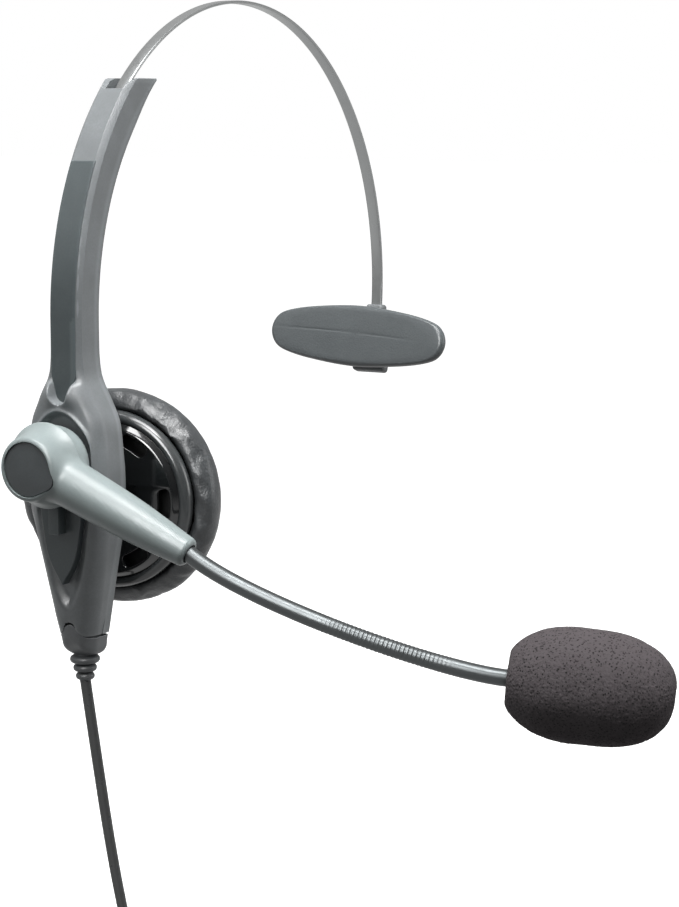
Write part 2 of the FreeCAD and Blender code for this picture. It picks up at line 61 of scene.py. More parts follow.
def evaluated(piece):
    """The piece's mesh with its modifiers applied."""
    bpy.context.view_layer.update()
    return bpy.data.meshes.new_from_object(piece.evaluated_get(bpy.context.evaluated_depsgraph_get()))


def mesh_piece(name, points, faces, crease=40):
    """Smooth-shaded mesh from points in millimetres; edges over the crease angle stay sharp."""
    data = bpy.data.meshes.new(name)
    data.from_pydata((np.asarray(points, float) * MM).tolist(), [], [tuple(f) for f in faces])
    tidy = bmesh.new()
    tidy.from_mesh(data)
    bmesh.ops.remove_doubles(tidy, verts=tidy.verts, dist=WELD)
    bmesh.ops.dissolve_degenerate(tidy, edges=tidy.edges, dist=WELD / 20)
    bmesh.ops.recalc_face_normals(tidy, faces=tidy.faces)
    tidy.to_mesh(data)
    tidy.free()
    data.shade_smooth()
    data.set_sharp_from_angle(angle=math.radians(crease))
    return link(name, data)


def grid_faces(rows, columns):
    """Faces between rings of the same number of points."""
    faces = []
    for i in range(rows - 1):
        for j in range(columns):
            k = (j + 1) % columns
            faces.append((i * columns + j, i * columns + k, (i + 1) * columns + k, (i + 1) * columns + j))
    return faces


def loft(name, rings, crease=40, closed=False):
    """Skin over rings with the same number of points; the two ends are capped unless it closes."""
    rings = np.asarray(rings, float)
    rows, columns = rings.shape[:2]
    faces = grid_faces(rows, columns)
    if closed:
        last = (rows - 1) * columns
        faces += [(last + j, last + (j + 1) % columns, (j + 1) % columns, j) for j in range(columns)]
    else:
        faces += [tuple(range(columns))[::-1], tuple(range((rows - 1) * columns, rows * columns))]
    return mesh_piece(name, rings.reshape(-1, 3), faces, crease)


def through(points, steps=8, closed=False):
    """Smooth curve through the points, with the given number of steps in each span."""
    points = np.asarray(points, float)
    count = len(points)
    spans = count if closed else count - 1
    curve = []
    for i in range(spans):
        if closed:
            a, b, c, d = (points[(i + k) % count] for k in (-1, 0, 1, 2))
        else:
            b, c = points[i], points[i + 1]
            a = points[i - 1] if i else 2 * b - c
            d = points[i + 2] if i + 2 < count else 2 * c - b
        for step in range(steps):
            t = step / steps
            curve.append(0.5 * (2 * b + (c - a) * t + (2 * a - 5 * b + 4 * c - d) * t ** 2
                                + (3 * b - a - 3 * c + d) * t ** 3))
    if not closed:
        curve.append(points[-1])
    return np.array(curve)


def unit(vector):
    """The vector at length one."""
    vector = np.asarray(vector, float)
    return vector / np.linalg.norm(vector)


def side_axes(along):
    """Two directions square to the first."""
    along = unit(along)
    guide = np.array([0, 0, 1.0]) if abs(along[2]) < 0.9 else np.array([1.0, 0, 0])
    first = unit(np.cross(guide, along))
    return first, np.cross(along, first)


def hoop(first, second, steps):
    """Unit circle in the plane of two directions."""
    turns = np.arange(steps) * 2 * math.pi / steps
    return np.cos(turns)[:, None] * first + np.sin(turns)[:, None] * second


def circle(radius, count=128, centre=(0, 0)):
    """Flat outline for plate()."""
    return centre + radius * hoop(np.array([1, 0]), np.array([0, 1]), count)


def turned(name, profile, base, along, steps=96, crease=40, closed=False):
    """Turned part from (distance along the axis, radius) points."""
    along = unit(along)
    around = hoop(*side_axes(along), steps)
    rings = [np.asarray(base) + along * distance + around * max(radius, 1e-3) for distance, radius in profile]
    return loft(name, rings, crease, closed)


def corner_arc(enter, corner, leave, steps):
    """Points of an arc-like curve from one point to another, drawn towards a corner."""
    return [(1 - t) ** 2 * enter + 2 * t * (1 - t) * corner + t ** 2 * leave
            for t in (step / steps for step in range(steps + 1))]


def rounded(profile, radius, steps=4):
    """The corners of an open line of points, each rounded by an arc-like curve."""
    points = np.asarray(profile, float)
    result = [points[0]]
    for before, corner, after in zip(points, points[1:], points[2:]):
        reach = min(radius, 0.45 * np.linalg.norm(before - corner), 0.45 * np.linalg.norm(after - corner))
        enter, leave = (corner + unit(end - corner) * reach for end in (before, after))
        result += corner_arc(enter, corner, leave, steps)
    result.append(points[-1])
    return np.array(result)


def rounded_loop(corners, radius, steps=4):
    """Closed outline with all its corners rounded."""
    corners = np.asarray(corners, float)
    middle = (corners[0] + corners[-1]) / 2
    return rounded(np.vstack([middle, corners, middle]), radius, steps)[:-1]


def plate(name, outlines, low, high, bevel, place, crease=40):
    """Flat plate with bevelled edges, from closed (across, up) outlines; those inside another are holes."""
    data = bpy.data.curves.new(name + "_outline", "CURVE")
    data.dimensions, data.fill_mode = "2D", "BOTH"
    data.extrude, data.bevel_depth = (high - low) / 2 - bevel, bevel
    data.bevel_resolution, data.offset = 2, -bevel
    for outline in outlines:
        spline = data.splines.new("POLY")
        spline.points.add(len(outline) - 1)
        for point, (across, up) in zip(spline.points, outline):
            point.co = (across, up, 0, 1)
        spline.use_cyclic_u = True
    drawing = link(name + "_outline", data)
    data = evaluated(drawing)
    bpy.data.objects.remove(drawing)
    points = [place((v.co.x, v.co.y, v.co.z + (low + high) / 2)) for v in data.vertices]
    return mesh_piece(name, points, [tuple(f.vertices) for f in data.polygons], crease)


def join(name, *pieces):
    """One object from several meshes."""
    merged = bmesh.new()
    for piece in pieces:
        merged.from_mesh(piece.data)
        bpy.data.objects.remove(piece)
    data = bpy.data.meshes.new(name)
    merged.to_mesh(data)
    merged.free()
    return link(name, data)


def cut(piece, *tools, crease=40):
    """Takes the tools' volumes out of the piece."""
    for tool in tools:
        step = piece.modifiers.new("cut", "BOOLEAN")
        step.operation, step.solver, step.object = "DIFFERENCE", "EXACT", tool
    data = evaluated(piece)
    piece.modifiers.clear()
    piece.data = data
    for tool in tools:
        bpy.data.objects.remove(tool)
    data.shade_smooth()
    data.set_sharp_from_angle(angle=math.radians(crease))
    return piece


def on_surface(points, field, step):
    """Moves points on to the zero of the distance field."""
    probe = 0.02
    for _ in range(2):
        value = field(points)
        slope = np.stack([(field(points + d) - value) / probe for d in np.eye(3) * probe], -1)
        reach = value[:, None] * slope / np.maximum((slope ** 2).sum(1), 0.2)[:, None]
        points = points - np.clip(reach, -step / 2, step / 2)
    return points


def surface_net(name, field, low, high, step, crease):
    """Closed mesh where the distance field is zero, found on a grid of the given step."""
    axes = [np.arange(a, b + step, step) for a, b in zip(low, high)]
    places = np.stack(np.meshgrid(*axes, indexing="ij"), -1)
    values = field(places.reshape(-1, 3)).reshape(places.shape[:3])
    inside = values < 0
    cells = tuple(n - 1 for n in values.shape)
    total, count = np.zeros(cells + (3,)), np.zeros(cells)
    crossings = []
    for axis in range(3):
        near, far = [slice(None)] * 3, [slice(None)] * 3
        near[axis], far[axis] = slice(0, -1), slice(1, None)
        near, far = tuple(near), tuple(far)
        crossing = inside[near] != inside[far]
        gap = np.where(crossing, values[near] - values[far], 1.0)
        share = np.where(crossing, values[near] / gap, 0.0)
        spot = places[near] + np.eye(3)[axis] * (share * step)[..., None]
        crossings.append(crossing)
        others = [a for a in range(3) if a != axis]
        for shift in ((0, 0), (0, 1), (1, 0), (1, 1)):
            window = [slice(None)] * 3
            for other, first in zip(others, shift):
                window[other] = slice(first, first + cells[other])
            window = tuple(window)
            total += np.where(crossing[window][..., None], spot[window], 0.0)
            count += crossing[window]
    active = count > 0
    number = np.cumsum(active).reshape(cells) - 1
    points = on_surface(total[active] / count[active][:, None], field, step)
    faces = []
    for axis, crossing in enumerate(crossings):
        others = [a for a in range(3) if a != axis]
        spots = np.argwhere(crossing)
        spots = spots[np.all([(spots[:, a] > 0) & (spots[:, a] < cells[a]) for a in others], axis=0)]
        corners = []
        for shift in ((1, 1), (0, 1), (0, 0), (1, 0)):
            place = spots.copy()
            place[:, others] -= shift
            corners.append(number[tuple(place.T)])
        faces += np.stack(corners, 1).tolist()
    return mesh_piece(name, points, faces, crease)


def ease(value):
    """Smooth step from 0 to 1."""
    value = np.clip(value, 0, 1)
    return value * value * (3 - 2 * value)


def smooth_min(a, b, width):
    """The smaller of two distances, with a fillet of the given width."""
    share = np.clip(0.5 + 0.5 * (b - a) / width, 0, 1)
    return b * (1 - share) + a * share - width * share * (1 - share)


def outline_distance(across, up, outline):
    """Distance to a closed outline, positive inside it."""
    outline = np.asarray(outline, float)
    spots = np.stack([np.ravel(across), np.ravel(up)], -1)
    best = np.full(len(spots), 1e9)
    inside = np.zeros(len(spots), bool)
    for start, end in zip(outline, np.roll(outline, -1, 0)):
        run = end - start
        share = np.clip(((spots - start) @ run) / max(run @ run, 1e-12), 0, 1)
        best = np.minimum(best, np.linalg.norm(spots - start - share[:, None] * run, axis=1))
        if start[1] != end[1]:
            between = (start[1] > spots[:, 1]) != (end[1] > spots[:, 1])
            inside ^= between & (spots[:, 0] < start[0] + (spots[:, 1] - start[1]) * run[0] / run[1])
    return np.where(inside, best, -best).reshape(np.shape(across))


# ------------------------------------------------------------------ camera

CAMERA_AZIMUTH, CAMERA_ELEVATION = -61.1, 8.43
CAMERA_DISTANCE = 0.650
CAMERA_TARGET = Vector((0.05266, 0.0, -0.04696))
CAMERA_LENS = 92.24


def make_camera():
    """Long lens on the outer side, a little in front of the wearer and above the ear."""
    azimuth, elevation = math.radians(CAMERA_AZIMUTH), math.radians(CAMERA_ELEVATION)
    back = Vector((math.sin(azimuth) * math.cos(elevation), -math.cos(azimuth) * math.cos(elevation),
                   math.sin(elevation)))
    data = bpy.data.cameras.new("camera")
    data.lens, data.sensor_width = CAMERA_LENS, 36
    data.clip_start, data.clip_end = 0.01, 40
    camera = link("camera", data)
    camera.location = CAMERA_TARGET + back * CAMERA_DISTANCE
    camera.rotation_euler = back.to_track_quat("Z", "Y").to_euler()
    bpy.context.scene.camera = camera


make_camera()


# --------------------------------------------------------------- materials

def srgb(*levels):
    """Linear colour from 0-255 screen levels."""
    return tuple((v / 255 / 12.92 if v < 10.3 else ((v / 255 + 0.055) / 1.055) ** 2.4) for v in levels) + (1,)


def map_range(tree, value, *ends):
    """Maps a value from one span to another; ends are from low, from high, to low and to high."""
    node = tree.nodes.new("ShaderNodeMapRange")
    for socket, end in zip(("From Min", "From Max", "To Min", "To Max"), ends):
        node.inputs[socket].default_value = end
    tree.links.new(value, node.inputs["Value"])
    return node


# Sizes in millimetres, and the spans of voronoi distance and of pointiness over which the painted shade in
# the pores and the lighter edges (partly wear, partly painted highlight) show.
MOTTLE_SIZE, SPECK_SIZE, SMEAR_SIZE = 6.0, 0.5, 2.5
PORE_EDGE, EDGE_WEAR_AND_HIGHLIGHT = (0.46, 0.80), (0.52, 0.60)


def surface(name, levels, roughness, grain, grain_size, mottle=0.10, wear=0.0, second=None, **shader):
    """Procedural finish: mottled colour, uneven gloss, fine grain, and convex edges painted lighter, partly
    as wear and partly as a painted highlight.

    grain is the bump's strength and grain_size its size in millimetres. A second colour, the material's own,
    lies between pores whose near-black colour is painted shade inside the pore holes.
    """
    material = bpy.data.materials.new(name)
    material.use_nodes = True
    tree = material.node_tree
    nodes, links = tree.nodes, tree.links
    bsdf = nodes["Principled BSDF"]
    place = nodes.new("ShaderNodeTexCoord").outputs["Object"]
    colour = srgb(*levels)[:3]

    def scaled(factor, plus=0.0):
        return tuple(min(c * factor + plus, 1.0) for c in colour) + (1,)

    def noise_at(size_mm, detail=3.0, kind="ShaderNodeTexNoise"):
        texture = nodes.new(kind)
        texture.inputs["Scale"].default_value = 1 / (size_mm * MM)
        if "Detail" in texture.inputs:
            texture.inputs["Detail"].default_value = detail
        links.new(place, texture.inputs["Vector"])
        return texture

    def remap(value, low, high, from_low=0.3, from_high=0.7):
        return map_range(tree, value, from_low, from_high, low, high).outputs["Result"]

    def mix(share, first, other):
        node = nodes.new("ShaderNodeMix")
        node.data_type = "RGBA"
        for socket, value in ((0, share), (6, first), (7, other)):
            if isinstance(value, tuple):
                node.inputs[socket].default_value = value
            else:
                links.new(value, node.inputs[socket])
        return node.outputs[2]

    shade = mix(remap(noise_at(MOTTLE_SIZE).outputs["Fac"], 0, 1), scaled(1 - mottle), scaled(1 + mottle))
    shade = mix(remap(noise_at(SPECK_SIZE, 4.0).outputs["Fac"], 0, 0.5), shade, scaled((1 - mottle) ** 2))
    # Pores: the near-black base colour is painted shade inside the pore holes; the second colour is the
    # material between them.
    if second:
        pores = noise_at(grain_size * 1.6, 2.0, "ShaderNodeTexVoronoi")
        shade = mix(remap(pores.outputs["Distance"], 0, 1, *PORE_EDGE), shade, srgb(*second))
    # Convex edges painted lighter: partly wear, partly a painted highlight along the edges.
    if wear:
        edge = remap(nodes.new("ShaderNodeNewGeometry").outputs["Pointiness"], 0, wear, *EDGE_WEAR_AND_HIGHLIGHT)
        shade = mix(edge, shade, scaled(2.2, 0.02))
    links.new(shade, bsdf.inputs["Base Color"])
    uneven = remap(noise_at(SMEAR_SIZE, 4.0).outputs["Fac"], roughness * 0.88, min(roughness * 1.12, 1))
    links.new(uneven, bsdf.inputs["Roughness"])
    if grain:
        bump = nodes.new("ShaderNodeBump")
        bump.inputs["Strength"].default_value = grain
        bump.inputs["Distance"].default_value = grain_size * 0.25 * MM
        links.new(noise_at(grain_size, 2.0).outputs["Fac"], bump.inputs["Height"])
        links.new(bump.outputs["Normal"], bsdf.inputs["Normal"])
    for socket, value in shader.items():
        bsdf.inputs[socket.replace("_", " ")].default_value = value
    return material


# Screen colour, roughness, strength and size of the grain, and what else a finish has.
FINISHES = {
    # The edge lightening given below is partly wear, partly a painted highlight on the edges.
    "housing_plastic": ((117, 121, 123), 0.40, 0.25, 0.30, {"wear": 0.25}),
    "inlay_plastic": ((70, 78, 80), 0.38, 0.35, 0.22, {"wear": 0.3}),
    "boom_plastic": ((134, 144, 144), 0.38, 0.12, 0.25, {"mottle": 0.05}),
    "cap_plastic": ((106, 109, 111), 0.46, 0.25, 0.30, {"wear": 0.3}),
    "hub_cap_plastic": ((62, 67, 69), 0.42, 0.2, 0.25, {}),
    "black_plastic": ((38, 39, 41), 0.35, 0.2, 0.25, {}),
    "gloss_black": ((17, 19, 20), 0.12, 0.05, 0.4, {"Coat_Weight": 0.8, "Coat_Roughness": 0.05}),
    "rim_plastic": ((60, 63, 64), 0.24, 0.1, 0.3, {"Coat_Weight": 0.3, "Coat_Roughness": 0.15}),
    "nylon": ((196, 192, 182), 0.4, 0.15, 0.4, {}),
    "band_steel": ((160, 162, 162), 0.30, 0.08, 0.2, {"mottle": 0.03, "Metallic": 0.9}),
    "neck_metal": ((80, 83, 84), 0.38, 0.0, 0.15, {"mottle": 0.03, "Metallic": 0.8}),
    "magnet_steel": ((150, 150, 148), 0.32, 0.15, 0.3, {"Metallic": 1.0}),
    "diaphragm_film": ((170, 160, 140), 0.25, 0.1, 0.3, {"mottle": 0.05}),
    "circuit_board": ((30, 88, 54), 0.38, 0.2, 0.4, {}),
    "felt": ((58, 58, 60), 0.9, 0.9, 0.3, {"mottle": 0.25, "Sheen_Weight": 0.4}),
    "leatherette": ((62, 65, 67), 0.40, 0.9, 0.55, {"mottle": 0.25, "Coat_Weight": 0.2,
                                                    "Coat_Roughness": 0.3}),
    # Near-black base colour: painted shade in the pore holes; the second colour is the foam itself.
    "foam": ((2, 2, 2), 0.95, 1.0, 0.42, {"mottle": 0.4, "second": (72, 67, 69), "Specular_IOR_Level": 0.2}),
    "pad_rubber": ((84, 89, 91), 0.33, 0.3, 0.5, {"mottle": 0.06}),
    "relief_rubber": ((98, 101, 103), 0.48, 0.2, 0.3, {"mottle": 0.08}),
    "cord_jacket": ((80, 82, 82), 0.30, 0.15, 0.3, {}),
    "tie_rubber": ((48, 48, 50), 0.55, 0.25, 0.3, {}),
    "contact_brass": ((205, 170, 95), 0.24, 0.1, 0.2, {"Metallic": 1.0}),
}
FINISH = {name: surface(name, *numbers, **more) for name, (*numbers, more) in FINISHES.items()}


def settle(piece, body, finish, *nodes):
    """Gives a piece its finish and its body, and hides the CAD nodes that it stands for."""
    piece.data.materials.clear()
    piece.data.materials.append(FINISH[finish])
    if body:
        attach(piece, body)
    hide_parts(*nodes)


# ------------------------------------------------------ housing and sleeve

# Distances (R) are from the arch's axis; the other sizes are half widths and heights, in millimetres.
ARM_OUTER, SPLIT_R, ARM_INNER, ARM_HALF, ARM_TOP, SLEEVE_LENGTH = 77.95, 71.1, 69.6, 4.4, 55.5, 62
OUTLINE = [(4, 4.4), (-4, 4.4), (-9, 4.55), (-13, 5.3), (-17.7, 7.6), (-22.5, 9.8), (-28, 10.6), (-36, 11.05),
           (-46, 10.4), (-58, 8.0), (-70, 5.6), (-78.5, 3.8)]
WALL = 1.5
SLEEVE_BEVEL, BODY_ROUND = 1.25, 2.7
MOUTH_ROUND, MOUTH_LIP, CHANNEL_R, CHANNEL_HALF = 2.4, 0.4, 77.15, 2.9
INLAY_R, INLAY_HALF = 78.15, 3.4
NOTCH_LINE = [(-18.4, 0.0), (-18.0, 1.2), (-17.0, 2.1), (-15.4, 2.55), (-13.8, 2.9), (-12.4, 3.3),
              (-10.5, 3.45), (-8.0, 3.45)]
RECESS_DEPTH = 1.6
RECESS = through([(0, -20.0), (4.8, -22.5), (8.2, -29), (7.3, -43), (5.0, -57), (2.6, -64), (0, -66.5),
                  (-2.6, -64), (-5.0, -57), (-7.3, -43), (-8.2, -29), (-4.8, -22.5)], closed=True)
HALF_TABLE = through(OUTLINE, 12)[::-1]
CAP_LINE = [(0, -69.8), (1.5, -70.3), (3.0, -71.7), (4.6, -72.9), (6.5, -73.2), (9.0, -73.2), (14.0, -73.3)]
CAP_GAP, FOOT = 0.55, -78.6
LAST_LEVEL, LINE_LEVEL = -68.4, -74.0


def along_table(z, table):
    """Value at z, from a table of (z, value) rows."""
    return np.interp(z, table[:, 0], table[:, 1])


def body_half(z):
    """Half width of the housing and the sleeve at a level."""
    return along_table(z, HALF_TABLE)


def body_outer(z):
    """Distance of the outer face from the arch's axis, under the level of the origin."""
    face = np.interp(z, [-79.0, -35.0, -16.0], [74.8, 78.5, 78.4])
    return ARM_OUTER + (face - ARM_OUTER) * ease((-10.3 - z) / 3.6)


CREST = through([(-80, 77.0), (-70, 77.9), (-66, 78.2), (-58, 79.1), (-48, 79.8), (-38, 80.1), (-26, 80.15),
                 (-20.5, 80.2), (-17.5, 80.3), (-15.5, 80.0), (-14, 79.0), (-12.9, 77.8), (-9.5, 77.7)], 6)


def crown(y, z):
    """How far the outer face swells out towards its middle, over its edge line."""
    swell = (along_table(z, CREST) - body_outer(z)) * ease((-10.5 - z) / 2.5)
    horns = 0.9 * np.exp(-((np.abs(y) - 2.9) / 1.7) ** 2) * ease((-12.6 - z) / 1.8) * ease((z + 20.5) / 4.5)
    return (swell + horns) * (1 - np.minimum(np.abs(y) / body_half(z), 1) ** 2.5)


def body_inner(z):
    """Distance of the inner face from the arch's axis."""
    return np.interp(z, [-79.0, -30.0, 0.0], [67.9, ARM_INNER, ARM_INNER])


def corner_round(z):
    """Size of the bevel of the sleeve's edges, which grows into the body's round corners."""
    return SLEEVE_BEVEL + (BODY_ROUND - SLEEVE_BEVEL) * ease((-9.5 - z) / 11)


def relief(y, z):
    """How far the outer face stands out (+) or in (-), from the notch, the recess and their rims."""
    inside = outline_distance(y, z, RECESS)
    lower = ease((-34 - z) / 16)
    crisp = np.sin(math.pi / 2 * np.clip(inside / 1.5, 0, 1))
    soft = ease((inside + 0.5) / 3.2)
    lip = 0.36 * np.exp(-((inside + 0.2) / 0.5) ** 2) * (1 - lower)
    depth = RECESS_DEPTH * (crisp * (1 - lower) + soft * lower)
    into = outline_distance(y, z, NOTCH)
    notch = body_outer(z) + crown(y, z) - (INLAY_R - 0.75)
    rim = 0.16 * np.exp(-((into + 0.55) / 0.45) ** 2) * ease((-13.2 - z) / 1.5)
    sunk = notch * ease((into + 0.2) / 0.6) * ease((-9.3 - z) / 2.0)
    return lip - depth + rim - sunk


def column_shares(z):
    """Places across the outer face, closer together where the notch and the recess end."""
    half = body_half(z) - corner_round(z)
    edge = max(along_table(z, NOTCH_SIDE), 2.2) if z > -18.6 else max(along_table(z, RECESS_EDGE), 2.6)
    inner, outer = min(edge - 1.6, half * 0.7), min(edge + 0.7, half * 0.93)
    right = np.concatenate([np.linspace(0, inner, 10)[:-1], np.linspace(inner, outer, 13)[:-1],
                            np.linspace(outer, half, 6)])
    return np.concatenate([-right[:0:-1], right])


RECESS_EDGE = np.array(sorted((z, y) for y, z in RECESS if y >= 0))
NOTCH_SIDE = through(NOTCH_LINE, 6)
NOTCH = np.concatenate([NOTCH_SIDE[:, ::-1], NOTCH_SIDE[:0:-1, ::-1] * [-1, 1]])
SIDE_COLUMNS, CORNER_COLUMNS, INNER_COLUMNS = 12, 15, 24


def mirrored(right, face):
    """Section from its right half line and the face between the halves."""
    return np.concatenate([right, face, right[::-1] * [1, -1]])


def shell_section(z):
    """Outer line of one section, from one inner edge over the outer face to the other: (reach, y)."""
    half, reach, corner = body_half(z), body_outer(z), corner_round(z)
    share = np.linspace(0, 1, CORNER_COLUMNS)[1:-1]
    turn = share * math.pi / 2
    arc = np.stack([reach - corner + corner * np.sin(turn), half - corner + corner * np.cos(turn)], -1)
    flat = np.stack([reach - corner + corner * share, half - corner * share], -1)
    corner_line = flat + (arc - flat) * (0.12 + 0.88 * ease((-9.5 - z) / 8))
    side_share = np.linspace(0, 1, SIDE_COLUMNS) ** 0.7
    side = np.stack([SPLIT_R + (reach - corner - SPLIT_R) * side_share, np.full(SIDE_COLUMNS, half)], -1)
    face_y = column_shares(z)
    face = np.stack([np.full(len(face_y), reach), face_y], -1)
    section = mirrored(np.concatenate([side, corner_line]), face[::-1])
    section[:, 0] += crown(section[:, 1], z)
    return section


def mouth_drop(reach, highest):
    """How much lower the sleeve's mouth is at its outer wall, with a rounded shoulder."""
    inset = np.clip((highest - reach) * 1.3, 0, MOUTH_ROUND)
    return MOUTH_ROUND - np.sqrt(np.maximum(MOUTH_ROUND ** 2 - (MOUTH_ROUND - inset) ** 2, 0))


def place_section(section, z, share_up=None, drop=0.0):
    """Puts a section at a height below the origin, or at a share of the way up the sleeve."""
    reach, y = section[:, 0], section[:, 1]
    if share_up is None:
        return np.stack([-reach, y, np.broadcast_to(z, reach.shape)], -1)
    turn = share_up * np.arcsin((ARM_TOP - drop * share_up ** 8) / reach)
    return np.stack([-reach * np.cos(turn), y, reach * np.sin(turn)], -1)


def run_along(line):
    """Length of the way from a line's start to each of its points."""
    return np.concatenate([[0], np.cumsum(np.linalg.norm(np.diff(line, axis=0), axis=1))])


def cap_line(section):
    """Height of the parting line under the shell, along the way round the section."""
    run = run_along(section)
    return along_table(np.abs(run - run[-1] / 2), through(CAP_LINE, 6))


def shell_heights():
    """Levels of the sections below the sleeve, closer together where the face has detail."""
    return np.concatenate([np.arange(-1, -9, -1.0), np.arange(-9, -24, -0.25), np.arange(-24, -60, -0.6),
                           np.arange(-60, LAST_LEVEL, -0.35)])


def hollow_line(z):
    """Inner line of the same section: the strip's channel above, the room for the parts below."""
    wide = ease((-17 - z) / 6)
    half = CHANNEL_HALF + (body_half(z) - WALL - CHANNEL_HALF) * wide
    channel = np.sqrt(CHANNEL_R ** 2 - min(z, 0) ** 2) - 1.4 * ease(-z / 8)
    reach = channel + (body_outer(z) - RECESS_DEPTH - WALL - channel) * wide
    quarter, middle = INNER_COLUMNS // 4, INNER_COLUMNS // 2
    side = np.stack([np.linspace(SPLIT_R, reach - 0.6, quarter), np.full(quarter, half)], -1)
    face = np.stack([np.full(middle, reach), np.linspace(half - 0.6, 0.6 - half, middle)], -1)
    return mirrored(side, face)[::-1]


def rim_faces(columns, rows):
    """Closes the gap between the outer and the inner line at both ends of the shell."""
    faces = []
    last = INNER_COLUMNS - 1
    for base in (0, (rows - 1) * (columns + INNER_COLUMNS)):
        for j in range(columns - 1):
            here, after = (last - round(k * last / (columns - 1)) for k in (j, j + 1))
            corner = [base + j, base + j + 1, base + columns + after]
            faces.append(corner + ([base + columns + here] if here != after else []))
    return faces


def make_outer_shell():
    """Arm and housing in one: sections up the sleeve, down the body, and down to the parting line."""
    rings = []
    section = shell_section(0.0)
    inner = hollow_line(0.0)
    drop = np.concatenate([mouth_drop(section[:, 0], ARM_OUTER), mouth_drop(inner[:, 0], CHANNEL_R)])
    for turn in np.linspace(0, math.pi / 2, 5):
        lip = section.copy()
        away = MOUTH_LIP * (1 - math.sin(turn))
        lip[:, 1] *= (ARM_HALF - away * 0.7) / ARM_HALF
        lip[:, 0] = np.minimum(lip[:, 0], ARM_OUTER - away * 0.5)
        sunk = 1 - MOUTH_LIP * (1 - math.cos(turn)) / SLEEVE_LENGTH
        rings.append(place_section(np.concatenate([lip, inner]), 0, sunk, drop))
    for share in np.linspace(1 - 2.2 / SLEEVE_LENGTH, 0, 62)[:-1]:
        rings.append(place_section(np.concatenate([section, inner]), 0, share, drop))
    for z in shell_heights():
        section = shell_section(z)
        face = place_section(section, z)
        front = face[SIDE_COLUMNS:-SIDE_COLUMNS]
        front[:, 0] -= relief(front[:, 1], front[:, 2])
        rings.append(np.concatenate([face, place_section(hollow_line(z), z)]))
    line = cap_line(shell_section(LAST_LEVEL))
    for share in np.linspace(0.12, 1, 8):
        z = LAST_LEVEL + (line - LAST_LEVEL) * share
        deep = float(LAST_LEVEL + (LINE_LEVEL - LAST_LEVEL) * share)
        section, inner = shell_section(deep), hollow_line(deep)
        order = np.argsort(section[:, 1])
        inner_z = np.interp(inner[:, 1], section[order, 1], z[order])
        rings.append(np.concatenate([place_section(section, z), place_section(inner, inner_z)]))
    columns = len(line)
    faces = grid_faces(len(rings), columns + INNER_COLUMNS) + rim_faces(columns, len(rings))
    shell = mesh_piece("outer_shell_skin", np.concatenate(rings), faces, crease=32)
    settle(shell, "housing", "housing_plastic", "outer_shell")


SCREW_LEVELS = (-21.5, -65.0)


def make_inner_shell():
    """Thin cover on the wearer's side, with a rounded edge all round."""
    rings, edge, steps = [], 0.4, 48

    def section(z, inner_r):
        half = body_half(z)
        turn = np.linspace(0, math.pi / 2, 6)
        corner = np.stack([inner_r + edge * (1 - np.sin(turn)), half - edge * (1 - np.cos(turn))], -1)
        right = np.concatenate([[[SPLIT_R - 0.02, half], [inner_r + edge + 0.08, half]], corner])
        across = np.linspace(half - edge, edge - half, 12)[1:-1]
        return mirrored(right, np.stack([np.full(10, inner_r), across], -1))

    for step in range(steps + 1):
        share = 1 - step / steps
        line = section(0.0, ARM_INNER + 1.0 * ease((share - 0.72) / 0.28))
        if step == 0:
            tip = line.copy()
            tip[:, 1] *= 0.86
            rings.append(place_section(tip, 0, 1.0))
            share = 1 - 0.6 / SLEEVE_LENGTH
        rings.append(place_section(line, 0, share))
    for z in np.append(np.arange(-1.5, -72.5, -1.5), -73.3):
        rings.append(place_section(section(z, body_inner(z)), z))
    cover = loft("inner_shell_skin", rings, crease=35)
    wells = [turned("well", [(-69.96, 1.95), (-60, 1.95)], (0, 0, z), (1, 0, 0), 32) for z in SCREW_LEVELS]
    settle(cut(cover, *wells, crease=35), "housing", "housing_plastic", "inner_shell")


def make_inlay():
    """Darker strip let into the sleeve's outer face; its foot is round and fits the notch."""
    start, low_r, bevel = 28.1, 77.47, 0.16
    rings = []

    def ring(half, top_r, degrees, drop=0.0):
        line = [(low_r, half), (top_r - bevel, half), (top_r, half - bevel)]
        across = [(top_r, y) for y in np.linspace(half - bevel, bevel - half, 9)[1:-1]]
        line += across + [(r, -y) for r, y in line[::-1]]
        turn = math.radians(degrees)
        return [(-r * math.cos(turn), y, r * math.sin(turn) - drop) for r, y in line]

    rings.append(ring(INLAY_HALF, INLAY_R - 0.25, start))
    rings += [ring(INLAY_HALF, INLAY_R, degrees) for degrees in np.linspace(start - 0.28, 0, 50)]
    for z in np.concatenate([np.arange(-1, -10, -1.0), np.linspace(-10, -18.34, 60)]):
        half = along_table(z, NOTCH_SIDE) + 0.05
        rings.append(ring(min(INLAY_HALF, max(half, 0.25)), INLAY_R, 0.0, -z))
    settle(loft("arm_inlay_skin", rings, crease=30), "housing", "inlay_plastic", "arm_inlay")


def shrunk(line, centre, inset):
    """The line with every point moved towards the centre by the inset."""
    away = line - centre
    return line - away / np.linalg.norm(away, axis=1)[:, None] * inset


